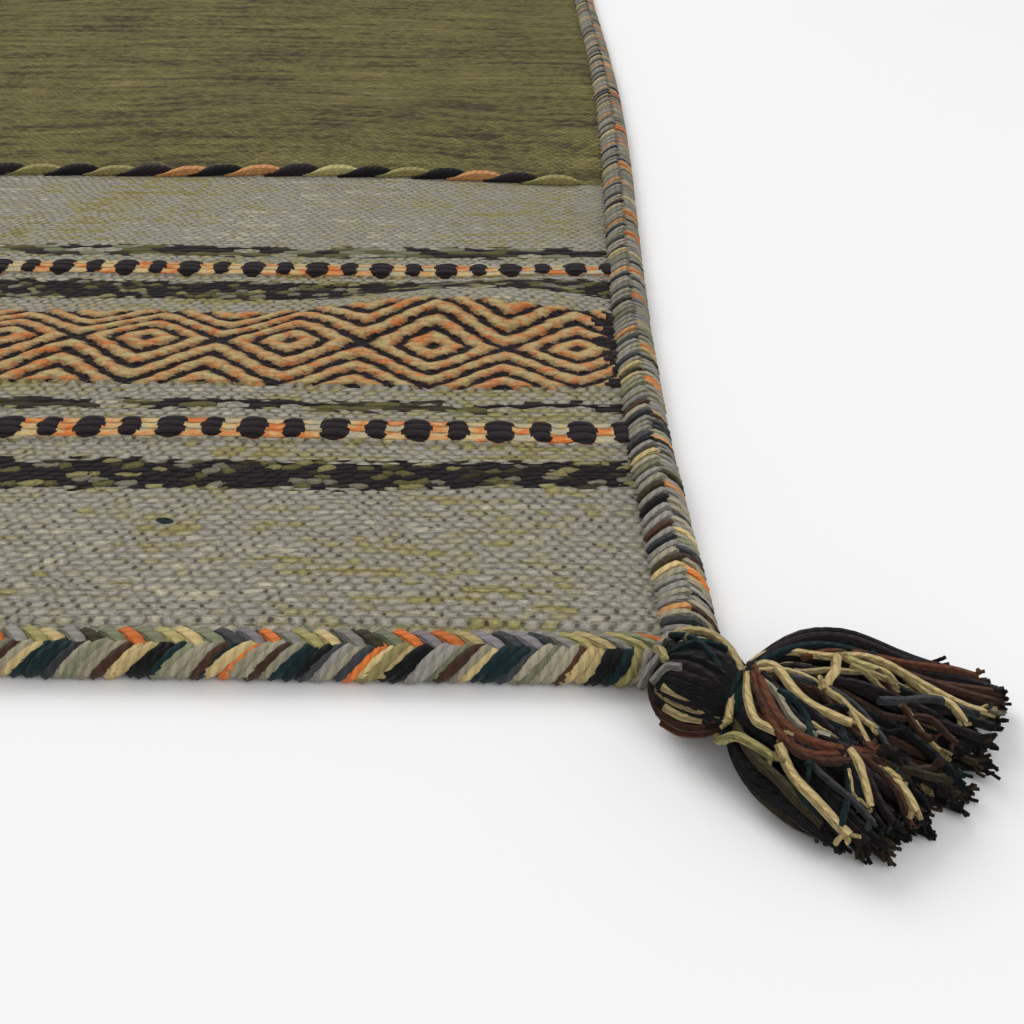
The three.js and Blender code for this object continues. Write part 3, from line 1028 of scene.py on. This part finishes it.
def lacedRow(name, holder, run, pitch, names, seed):
    blank = placed(name, bpy.data.meshes.new(name))
    values = {
        "Strand": holder,
        "Run": float(run),
        "Pitch": float(pitch),
        "Turn jitter": braid["turnJitter"],
        "Size jitter": braid["sizeJitter"],
        "Seed": seed,
        "Yarn": woolYarn,
    }
    mesh = evaluated(blank, lace, values)
    bpy.data.objects.remove(blank)
    number = np.empty(len(mesh.vertices), dtype=np.int32)
    mesh.attributes["strand"].data.foreach_get("value", number)
    draw = np.random.default_rng(seed)
    strands = int(number.max()) + 1
    order = np.arange(strands) % len(names)
    stray = draw.random(strands) < braid["strayShare"]
    order = np.where(stray, draw.integers(0, len(names), strands), order)
    isLong = run > rug["width"]
    gain = braid["lowestGain"] + braid["gainSpread"] * draw.random(strands)
    gain = gain * (braid["longSideGain"] if isLong else 1)
    colours = np.array([linear(names[pick]) for pick in order])
    toCorner = run / 2 - np.abs((np.arange(strands) + 0.5) * pitch - run / 2)
    near = toCorner / braid["cornerYarns"]
    darker = draw.random(strands) < np.clip(1.0 - near, 0, braid["darkShare"])
    if isLong:
        for strand in np.flatnonzero(darker):
            colours[strand] = linear(cornerShades[strand % len(cornerShades)])
        gain = gain * (1 + braid["cornerGain"] * np.clip(1.3 - near, 0, 1))
    colours[:, :3] *= gain[:, None]
    mesh.attributes["yarnColour"].data.foreach_set("color", colours[number].astype(np.float32).ravel())
    return mesh


def alongEdge(points, edge):
    # from a straight edge to its place round the rug, with the corner turned
    row = edges[edge]
    half = row["run"] / 2
    run, inset, up = points[:, 0], points[:, 1], points[:, 2]
    corner = np.clip((np.abs(run) - half + braid["cornerRun"]) / braid["cornerRun"], 0, 1)
    run = run - np.sign(run) * np.maximum(inset, 0) * corner**1.5
    run = np.clip(run, -half + 0.5, half - 0.5)
    reach = row["reach"] - inset
    x = row["along"][0] * run + row["out"][0] * reach
    y = row["along"][1] * run + row["out"][1] * reach
    return laid(np.stack([x, y, up], axis=1))


def braidPiece(edge, seed):
    run = edges[edge]["run"]
    kind = "short" if run == rug["width"] else "long"
    outerYarns, innerYarns = sideYarns[kind]
    outerStrand, innerStrand = holders[kind]
    innerSeed = seed + braid["innerSeed"]
    inner = lacedRow("inner", innerStrand, run, braid["innerPitch"][kind], innerYarns, innerSeed)
    outer = lacedRow("outer", outerStrand, run, braid["outerPitch"], outerYarns, seed)
    mesh = joined(f"braid_{edge}_strands", [outer, inner])
    setPoints(mesh, alongEdge(meshPoints(mesh), edge))
    return pieceFrom(mesh, woolYarn, [f"braid_{edge}"])


holders = {
    kind: [
        strandHolder(f"{kind}Outer", outerLine, braid["outerThick"], 1.0, braid["outerSlant"][kind]),
        strandHolder(f"{kind}Inner", innerLine, braid["innerThick"][kind], braid["innerFlatness"][kind],
                     braid["innerSlant"][kind]),
    ]
    for kind in ("short", "long")
}
for seed, edge in enumerate(edges, braid["seed"]):
    braidPiece(edge, seed)
for pair in holders.values():
    for holder in pair:
        bpy.data.objects.remove(holder)
print("edges braided")


# Twined line between the plain end and the field: dark and light yarns that pass under
# each other in turn

twined = {
    "pitch": 18.6,
    "clear": 12,           # the first lens' middle, in from the braid
    "size": (1.0, 1.25),
    "lightSize": 0.8,      # a light lens against a dark one
    "nudge": (1.5, 0.5),   # along the line and inward
    "darkYarns": ["black", "plum"],
    "lightYarns": ["peach", "straw", "orange", "moss", "butter", "peach", "straw"],
    "seed": 31,
}

# one lens of it: along the line, inward, above the cloth, and its half thickness
twinedLens = [
    (-17, -3.4, 0.4, 0.7), (-12, -2.8, 0.9, 1.3), (-8, -1.5, 1.5, 2.5), (-3, -0.2, 2.0, 3.4),
    (3, 0.4, 2.0, 3.5), (7, 0.9, 1.6, 2.9), (10, 1.5, 1.0, 1.9), (12.5, 2.0, 0.4, 0.7),
]


def twinedPiece(end):
    draw = np.random.default_rng(twined["seed"])
    half = rug["width"] / 2 - rug["braidWidth"] - twined["clear"]
    middles = np.arange(-half, half, twined["pitch"])
    paths, thickness, shades = [], [], []
    for number, middle in enumerate(middles):
        names = twined["lightYarns"] if number % 2 else twined["darkYarns"]
        size = draw.uniform(*twined["size"]) * (twined["lightSize"] if number % 2 else 1)
        nudge = [draw.uniform(-most, most) for most in twined["nudge"]]
        lens = np.array(twinedLens) * [1, 1, 1, size] + [*nudge, 0, 0]
        x = middle + lens[:, 0]
        down = bands["corded"] + lens[:, 1]
        y = lineAt(x, down if end == "front" else rug["length"] - down)
        paths.append(np.stack([x, y, rug["thickness"] + lens[:, 2]], axis=1))
        thickness.append(lens[:, 3])
        shades.append(linear(names[draw.integers(0, len(names))]))
    mesh = spunMesh(f"twined_{end}", paths, thickness, shades, 8, 0.8)
    setPoints(mesh, laid(meshPoints(mesh)))
    mesh.shade_smooth()
    return pieceFrom(mesh, woolYarn)


twinedPieces = [twinedPiece(end) for end in ("front", "back")]
print("lines twined")


# Tassels and the thread tied round each

tassel = {
    "outward": 6,          # head's middle, in from the long edge's line
    "beyond": 10.05,       # and out past the short edge's line
    "turn": 26,            # degrees off the short edge's direction
    "headRadius": 12,
    "neckRadius": 7.4,
    "neckMiddle": 10.6,
    "headYarns": 58,
    "skirtYarns": 150,
    "curls": 26,
    "headStart": 14,       # degrees round the ball from the seam, where a head yarn starts
    "headSweep": 128,      # and how many it then goes
    "headStops": 12,
    "headThick": (0.9, 1.3),
    "yarn": 1.15,
    "yarnSpread": (0.8, 1.25),
    "gain": (0.68, 1.15),
    "fanAngle": 40,
    "reachSpread": (0.84, 1.03),
    "sway": (0.8, 2.8),
    "seed": 5,
    "darkYarns": ["black", "plum", "black", "teal", "plum", "black", "black", "umber", "plum",
                  "brown"],
    "lightYarns": ["cream", "straw", "brown", "chestnut", "beige", "brown"],
    "curlShades": ["brown", "chestnut", "teal", "black", "slate", "plum", "cream", "umber", "brown",
                   "beige"],
    "headShades": ["black", "plum", "black", "brown", "black", "chestnut", "plum", "teal", "black",
                   "umber"],
    "paleHead": (5, 11),   # the first of the head's cream yarns, and every how many
    "lightAbove": 0.55,    # share of the skirt that lies too low for a light yarn
    "lightShare": 0.17,
}

# degrees off the tassel's own direction, and how far from the tie the yarns end there
skirtReach = ([-42, -32, -5, 6, 20, 39], [39, 43, 48, 53, 58, 68])

# loose strands on the skirt: degrees off the tassel's direction and how far they bend, then
# the share of the skirt where they start
curl = {
    "aim": (-36, 34),
    "bend": (-26, 26),
    "start": (0.05, 0.6),
    "length": (14, 32),
    "thick": (0.7, 1.15),
}

# loose plies at the end of a strand
fray = {"plies": 4, "stops": 4, "spread": 0.42, "length": (2, 4.5), "wander": 0.25, "lowest": 0.9}

tie = {"along": 10.5, "width": 3.4, "thread": 0.72, "turns": 4, "radius": 8.2, "turnStops": 20}

# single strands on top of the skirt: yarn, thickness, then points along the tassel,
# across it and up
topStrands = [
    ("cream", 1.1, [(11, 1, 18.5), (13, -6, 19.5), (16.4, -11.2, 16.5), (20.5, -11.6, 13), (24, -12, 9)]),
    ("cream", 1.0, [(9, -1, 18), (9.5, -6, 15.5), (10.5, -10, 10)]),
    ("cream", 1.2, [(12, 4, 19), (15, 5, 21), (20.4, -1, 20.5), (26, -4, 18), (31, -4, 14),
                    (35.6, -3, 10)]),
    ("cream", 1.0, [(10, 2, 18.5), (11.6, 7, 21.5), (18, 10, 23), (22, 10, 22.5), (27.4, 11.6, 20),
                    (29, 13, 17.5)]),
    ("cream", 1.1, [(28, 12, 18), (32, 16.6, 20), (37, 19.8, 19), (43, 20.5, 17), (52, 22.3, 13),
                    (62, 25.8, 7)]),
    ("butter", 1.0, [(29, 13, 17.5), (33, 13, 18), (39, 15.8, 16), (45, 20.9, 12)]),
    ("cream", 1.2, [(28, 12, 18), (29.2, 7, 17.5), (27.4, 2.3, 16)]),
    ("cream", 1.1, [(43, 20.5, 17), (47, 20.5, 14.5), (51, 20.4, 12), (58, 17.6, 7)]),
    ("cream", 1.25, [(23, -14, 13), (25, -16, 11.5), (30, -20, 8.5), (36.4, -22.5, 6.5), (42.2, -25, 4)]),
    ("straw", 1.2, [(8.5, -10.8, 9), (12, -13.5, 9), (17, -15, 8.5), (23, -16, 8)]),
    ("chestnut", 1.2, [(11, 4, 18.5), (13, 2, 21), (16, -3.7, 21), (20.4, -9, 20), (26, -12, 17),
                       (33, -12, 14), (39, -8, 12)]),
    ("brown", 1.15, [(10, 2, 18.5), (14, -3, 20), (19, -9, 19), (25, -14, 16), (32, -15, 13),
                     (38, -12, 11), (42, -7, 9.5)]),
    ("chestnut", 1.1, [(12, 1, 18.5), (17, -7, 20), (22, -12.5, 18.5), (29, -14.5, 15.5),
                       (36, -12, 13), (42, -5, 11)]),
    ("cream", 1.25, [(40, -8, 11), (43, -7.5, 9.5), (48.7, -6.4, 7)]),
    ("cream", 1.15, [(37, -10, 10.5), (40, -12, 8), (44.3, -16.8, 5)]),
    ("cream", 1.1, [(47, -9, 8), (50, -10.5, 6.5), (53.2, -12.8, 4)]),
    ("chestnut", 1.1, [(30, 18, 17), (38, 24, 14), (47, 30, 10), (58, 37, 6)]),
    ("beige", 1.1, [(11, 5, 18), (16, 13, 22), (22, 18, 23), (30, 22, 20), (40, 27, 14)]),
    ("black", 1.3, [(10.5, 4, 18), (14, 10, 22.5), (20, 17, 24), (27, 23, 22.5), (36, 28, 17),
                    (46, 34, 10)]),
    ("brown", 1.2, [(10.5, 5, 17.5), (14, 12, 21.5), (20, 19.5, 23), (28, 25, 20.5), (38, 31, 14),
                    (50, 37, 8)]),
    ("plum", 1.3, [(10.5, 3, 18.5), (14, 8, 22.8), (20, 14.5, 24.5), (27, 20, 23.5), (36, 25, 18.5),
                   (47, 31, 11)]),
    ("black", 1.2, [(10.5, 6, 16.5), (14, 13.5, 20), (21, 21.5, 21.5), (29, 27, 18.5), (39, 33, 12),
                    (48, 38, 7)]),
    ("teal", 1.1, [(10.5, 2, 18.5), (14, 6.5, 22.5), (20, 12, 24), (27, 17, 22.5), (35, 22, 18)]),
    ("black", 1.2, [(10.5, 7, 15), (14, 14, 17), (21, 22, 17.5), (30, 28, 14), (41, 35, 9)]),
]

# cords that cross the head, given the same way
headCords = [
    ("teal", 0.9, [(-10, 7, 19), (-4, 4, 23.6), (3, 0, 23.2), (8.6, -5, 17)]),
    ("teal", 0.9, [(-11, -4, 17.5), (-4, 2, 23.8), (4, 6, 22), (9.4, 5, 17.5)]),
    ("teal", 1.2, [(8, -8, 11), (8.6, -5, 17.6), (9, 0, 19.6), (9.6, 5, 18), (10, 8, 12)]),
    ("cream", 1.2, [(-12.5, 7, 15), (-8, 9.5, 19.6), (-1, 9, 22), (5, 6, 21.4), (9.4, 2, 18.9)]),
    ("lilac", 1.1, [(-12.6, -3, 10), (-12.8, 0, 15.5), (-11, 3, 19)]),
    ("beige", 1.2, [(-12.8, 4, 11), (-12, 6.5, 15), (-9.5, 8.5, 18)]),
    ("stone", 1.1, [(-12, -6, 12), (-11, -5, 17), (-9, -2, 20.6)]),
    ("butter", 1.1, [(-11.5, 1, 18.6), (-9.5, -1, 21), (-7.5, -4, 21)]),
    ("slate", 1.2, [(-11.5, 8, 13), (-10, 5, 18.5), (-8, 1, 21.6)]),
    ("beige", 1.1, [(-10.5, 9, 15), (-7.5, 7, 20.2), (-4.5, 4, 22.8)]),
    ("stone", 1.1, [(-9, -7, 16), (-6.5, -5, 20.6), (-3, -5.5, 21.8)]),
    ("cream", 1.0, [(-6, -8.5, 17), (-1, -9.5, 17), (4, -8.5, 16.5)]),
    ("cream", 1.0, [(-4.5, -10.5, 13), (0, -11.4, 12.6), (4.5, -10, 12.6)]),
    ("brown", 1.2, [(-6, -10, 10.5), (0, -11.6, 9.6), (5.5, -9.4, 10)]),
    ("chestnut", 1.1, [(-5, -10, 7.6), (0, -10.8, 6.8), (5.5, -9, 7.8)]),
]


# dark filling under the yarns, so that no gap shows through, black as painted shade between them: along,
# radius, middle's height
coreRows = [
    (-11.2, 0.5, 12), (-9.6, 6, 12), (-5.5, 9.9, 12), (0, 11.3, 12), (5.5, 10, 11.8),
    (8.5, 7, 10.8), (12, 6.2, 10.6), (15, 8.5, 10.8), (19, 10.4, 11.2), (25, 10.5, 11.2),
    (31, 9, 9.5), (37, 6, 7), (41, 0.5, 5),
]


def smoothPath(points, stops):
    # an even path through a few given points
    points = np.asarray(points, dtype=float)
    given = np.linspace(0, 1, len(points))
    fineStops = 48
    fine = np.linspace(0, 1, fineStops)
    path = np.stack([np.interp(fine, given, axis) for axis in points.T], axis=1)
    soft = max(3, fineStops // len(points) // 2 * 2 + 1)
    padded = np.pad(path, ((soft // 2, soft // 2), (0, 0)), mode="edge")
    blur = np.ones(soft) / soft
    blurred = np.stack([np.convolve(axis, blur, "valid") for axis in padded.T], axis=1)
    blurred[0], blurred[-1] = path[0], path[-1]
    steps = np.concatenate([[0], np.cumsum(np.linalg.norm(np.diff(blurred, axis=0), axis=1))])
    even = np.linspace(0, steps[-1], stops)
    return np.stack([np.interp(even, steps, axis) for axis in blurred.T], axis=1)


def headPaths(draw):
    # loops that run over the ball from its seam to the neck
    paths = []
    for number in range(tassel["headYarns"]):
        turn = 2 * math.pi * (number + draw.uniform(-0.3, 0.3)) / tassel["headYarns"]
        lean = draw.uniform(-0.4, 0.4)
        bulge = draw.uniform(-1.0, 0.2)
        path = []
        for stop in range(tassel["headStops"]):
            share = stop / (tassel["headStops"] - 1)
            sweep = math.radians(tassel["headStart"] + tassel["headSweep"] * share)
            reach = tassel["headRadius"] - 1.2 + bulge
            along = -reach * math.cos(sweep)
            out = reach * math.sin(sweep)
            middle = tassel["headRadius"]
            if share > 0.93:
                along, out, middle = 9.6, tassel["neckRadius"] - 0.6, tassel["neckMiddle"]
            angle = turn + lean * math.sin(math.pi * share)
            path.append((along, out * math.cos(angle), middle + out * math.sin(angle)))
        paths.append(smoothPath(path, 14))
    return paths


def skirtPaths(draw):
    paths = []
    for number in range(tassel["skirtYarns"]):
        out = math.sqrt((number + 0.5) / tassel["skirtYarns"])
        around = number * math.pi * (3 - math.sqrt(5))
        side, rise = out * math.cos(around), out * math.sin(around)
        high = (rise + 1) / 2
        spread = (math.asin(side) + side * math.sqrt(1 - side**2)) * 2 / math.pi
        aim = spread * tassel["fanAngle"] + draw.uniform(-7, 7)
        fan = math.radians(aim)
        reach = np.interp(aim, *skirtReach) * (draw.uniform(*tassel["reachSpread"]) - 0.05 * high)
        phase = draw.uniform(0, 2 * math.pi)
        sway = draw.uniform(*tassel["sway"])
        path = []
        for share in np.concatenate([[0, 0.05, 0.12], np.linspace(0.2, 1, 8)]):
            along = tie["along"] + reach * math.cos(fan) * share
            tip = reach * math.sin(fan)
            widths = [6 * side, 10 * side, 14.5 * side, 19 * side, tip]
            across = np.interp(share, [0, 0.05, 0.12, 0.25, 1], widths)
            across += sway * min(1, 2.5 * share) * math.sin(1.7 * math.pi * share + phase)
            up = np.interp(share, [0, 0.05, 0.12, 0.25, 0.5, 1], [
                tassel["neckMiddle"] + 6.0 * rise,
                tassel["neckMiddle"] + 8.2 * rise,
                12 + 9.6 * rise,
                12.4 + 10.4 * rise,
                1.7 + 18.5 * high,
                1.7 + 8 * high,
            ])
            up += 5 * side * high * math.sin(math.pi * min(1, 1.7 * share))
            up = max(1.8, up + 0.8 * share * math.sin(2.9 * math.pi * share + 2 * phase))
            path.append((along, across, up))
        paths.append(smoothPath(path, 15))
    return paths


def frayedPaths(paths, draw):
    # each strand ends in a few loose plies
    tips = []
    for path in paths:
        forward = path[-1] - path[-3]
        forward = forward / np.linalg.norm(forward)
        for _ in range(fray["plies"]):
            aim = forward + draw.normal(0, fray["spread"], 3)
            aim = aim / np.linalg.norm(aim)
            length = draw.uniform(*fray["length"])
            shares = np.linspace(0, 1, fray["stops"])
            ply = [path[-1] - forward * 1.5 + aim * length * share for share in shares]
            ply = np.array(ply) + draw.normal(0, fray["wander"], (fray["stops"], 3))
            ply[:, 2] = np.maximum(ply[:, 2], fray["lowest"])
            tips.append(ply)
    return tips


def restOn(path, below, thick):
    # lifts a path so that it lies on top of the yarns under it
    lifted = path.copy()
    for stop, (along, across, up) in enumerate(path):
        near = np.hypot(below[:, 0] - along, below[:, 1] - across) < 2.2
        if near.any():
            lifted[stop, 2] = max(up, below[near, 2].max() + thick)
    ups = np.pad(lifted[:, 2], 2, mode="edge")
    lifted[:, 2] = (ups[:-4] + 2 * ups[1:-3] + 3 * ups[2:-2] + 2 * ups[3:-1] + ups[4:]) / 9 + 0.4
    return lifted


def curlPaths(below, draw):
    # loose strands that wander over the top of the skirt
    paths = []
    for _ in range(tassel["curls"]):
        aim = draw.uniform(*curl["aim"])
        bend = draw.uniform(*curl["bend"])
        limit = np.interp(aim + bend, *skirtReach)
        start = draw.uniform(*curl["start"]) * limit
        length = min(draw.uniform(*curl["length"]), 0.97 * limit - start)
        phase = draw.uniform(0, 2 * math.pi)
        path = []
        for share in np.linspace(0, 1, 8):
            reach = start + length * share
            fan = math.radians(aim + bend * share) + 1.6 / reach * math.sin(5 * share + phase)
            path.append((tie["along"] + reach * math.cos(fan), reach * math.sin(fan), 4))
        paths.append(restOn(smoothPath(path, 15), below, 0.9))
    return paths


def pickYarns(names, count, draw):
    shades = np.array([linear(names[draw.integers(0, len(names))]) for _ in range(count)])
    shades[:, :3] *= draw.uniform(*tassel["gain"], (count, 1))
    return shades


def coreMesh():
    path = [[(along, 0, middle) for along, _, middle in coreRows]]
    thick = [[radius for _, radius, _ in coreRows]]
    # the core is black: painted shade in the gaps between the tassel's yarns
    return spunMesh("core", path, thick, [linear("black", 0.8)], 16)


def tasselPlace(points, sideX, sideY):
    # from the tassel's own frame to its corner
    along, across, up = points[:, 0], points[:, 1], points[:, 2]
    mirrored = sideX * sideY > 0
    if mirrored:
        across = -across
    turn = math.radians(tassel["turn"]) * sideX * sideY + (0 if sideX > 0 else math.pi)
    headX = sideX * (rug["width"] / 2 - tassel["outward"])
    headY = sideY * (rug["length"] / 2 + tassel["beyond"])
    x = headX + along * math.cos(turn) - across * math.sin(turn)
    y = headY + along * math.sin(turn) + across * math.cos(turn)
    return np.stack([x, y, up], axis=1) * mm, mirrored


def atCorner(mesh, sideX, sideY):
    points, mirrored = tasselPlace(meshPoints(mesh), sideX, sideY)
    setPoints(mesh, points)
    if mirrored:
        mesh.flip_normals()


def tipMesh(name, tips, thick, shades):
    # the plies of each strand have the strand's own colour
    return spunMesh(name, tips, thick, np.repeat(shades, fray["plies"], axis=0), 4)


def tasselPiece(corner, sideX, sideY, seed):
    draw = np.random.default_rng(seed)
    head = headPaths(draw)
    headShades = pickYarns(tassel["headShades"], len(head), draw)
    firstPale, palePitch = tassel["paleHead"]
    headShades[firstPale::palePitch] = linear("cream", 0.6)
    headThickness = draw.uniform(*tassel["headThick"], (len(head), 1))
    cordNames, cordThick, cordPoints = zip(*headCords)
    cords = [smoothPath(points, 14) for points in cordPoints]
    cordShades = np.array([linear(name, 0.75) for name in cordNames])
    skirt = skirtPaths(draw)
    shades = pickYarns(tassel["darkYarns"], len(skirt), draw)
    heights = np.array([path[5][2] for path in skirt])
    raised = heights > np.quantile(heights, tassel["lightAbove"])
    light = raised & (draw.random(len(skirt)) < tassel["lightShare"])
    shades[light] = pickYarns(tassel["lightYarns"], int(light.sum()), draw)
    thickness = tassel["yarn"] * draw.uniform(*tassel["yarnSpread"], (len(skirt), 1))
    tips = frayedPaths(skirt, draw)
    below = np.concatenate([smoothPath(path, 40) for path in skirt])
    topNames, topThick, topPoints = zip(*topStrands)
    top = [restOn(smoothPath(points, 15), below, thick) for thick, points in zip(topThick, topPoints)]
    topShades = np.array([linear(name) for name in topNames])
    topTips = frayedPaths(top, draw)
    curls = curlPaths(below, draw)
    curlShades = pickYarns(tassel["curlShades"], len(curls), draw)
    curlThickness = draw.uniform(*curl["thick"], (len(curls), 1))
    curlTips = frayedPaths(curls, draw)
    meshes = [
        coreMesh(),
        spunMesh("head", head, headThickness, headShades, 6),
        spunMesh("cords", cords, np.array(cordThick)[:, None], cordShades, 7),
        spunMesh("skirt", skirt, thickness, shades, 6),
        tipMesh("tips", tips, 0.55, shades),
        spunMesh("curls", curls, curlThickness, curlShades, 6),
        tipMesh("curlTips", curlTips, 0.5, curlShades),
        spunMesh("top", top, np.array(topThick)[:, None], topShades, 7),
        tipMesh("topTips", topTips, 0.6, topShades),
    ]
    mesh = joined(f"tassel_{corner}_yarns", meshes)
    atCorner(mesh, sideX, sideY)
    return pieceFrom(mesh, woolYarn, [f"tassel_{corner}"])


def tiePiece(corner, sideX, sideY):
    stops = tie["turns"] * tie["turnStops"]
    path = []
    for stop in range(stops + 1):
        share = stop / stops
        turn = 2 * math.pi * tie["turns"] * share
        along = tie["along"] + tie["width"] * (share - 0.5)
        up = tassel["neckMiddle"] + tie["radius"] * math.sin(turn)
        path.append((along, tie["radius"] * math.cos(turn), up))
    mesh = spunMesh(f"tie_{corner}_thread", [path], tie["thread"], [linear("teal", 1.3)], 7)
    atCorner(mesh, sideX, sideY)
    return pieceFrom(mesh, woolYarn, [f"tie_{corner}"])


corners = {"front_right": (1, -1), "front_left": (-1, -1), "back_left": (-1, 1), "back_right": (1, 1)}
for seed, (corner, (sideX, sideY)) in enumerate(corners.items(), tassel["seed"]):
    tasselPiece(corner, sideX, sideY, seed)
    tiePiece(corner, sideX, sideY)
print("tassels tied")


# Floor, light and camera

stage = {"floor": 14, "floorTone": 0.95, "sky": 0.55}
lamps = [
    {"name": "key", "place": (-1.2, 1.4, 2.6), "target": (0.3, -0.5, 0), "size": 2.2, "power": 60},
    {"name": "fill", "place": (1.8, -2.2, 1.8), "target": (0.5, -0.8, 0), "size": 1.6, "power": 18},
]
view = {"x": 554, "y": -1058, "height": 202, "lens": 40.2, "pitch": 35.2, "yaw": 1.15}


def floorPiece():
    material, graph = newMaterial("paleFloor")
    speck = graph.noise(graph.node("ShaderNodeTexCoord", None, None, 3), 3.0)
    tone = stage["floorTone"] + speck * 0.02
    colour = graph.vector(tone, tone, tone)
    shader = graph.node("ShaderNodeBsdfPrincipled", None, {"Base Color": colour, "Roughness": 0.9})
    graph.node("ShaderNodeOutputMaterial", None, {"Surface": shader})
    half = stage["floor"] / 2
    points = np.array([(-half, -half, 0), (half, -half, 0), (half, half, 0), (-half, half, 0)])
    mesh = meshFrom("floor", points, [np.array([[0, 1, 2, 3]])])
    mesh.materials.append(material)
    floor = placed("floor", mesh)


def areaLight(name, place, target, size, power):
    data = bpy.data.lights.new(name, "AREA")
    data.shape = "SQUARE"
    data.size = size
    data.energy = power
    lamp = placed(name, data)
    lamp.location = place
    aim = np.array(target) - np.array(place)
    pitch = math.atan2(math.hypot(aim[0], aim[1]), -aim[2])
    lamp.rotation_euler = (pitch, 0, math.atan2(aim[0], -aim[1]) + math.pi)


def lights():
    world = bpy.data.worlds.new("softRoom")
    bpy.context.scene.world = world
    world.use_nodes = True
    sky = world.node_tree.nodes["Background"]
    sky.inputs["Color"].default_value = (1, 1, 1, 1)
    sky.inputs["Strength"].default_value = stage["sky"]
    for lamp in lamps:
        areaLight(**lamp)


def viewpoint():
    data = bpy.data.cameras.new("camera")
    data.lens = view["lens"]
    data.clip_start = 0.01
    camera = placed("camera", data)
    camera.location = (view["x"] * mm, view["y"] * mm, view["height"] * mm)
    camera.rotation_euler = (math.radians(90 - view["pitch"]), 0, math.radians(view["yaw"]))
    bpy.context.scene.camera = camera


floorPiece()
lights()
viewpoint()
bpy.context.scene.view_settings.view_transform = "Standard"
print("stage set")
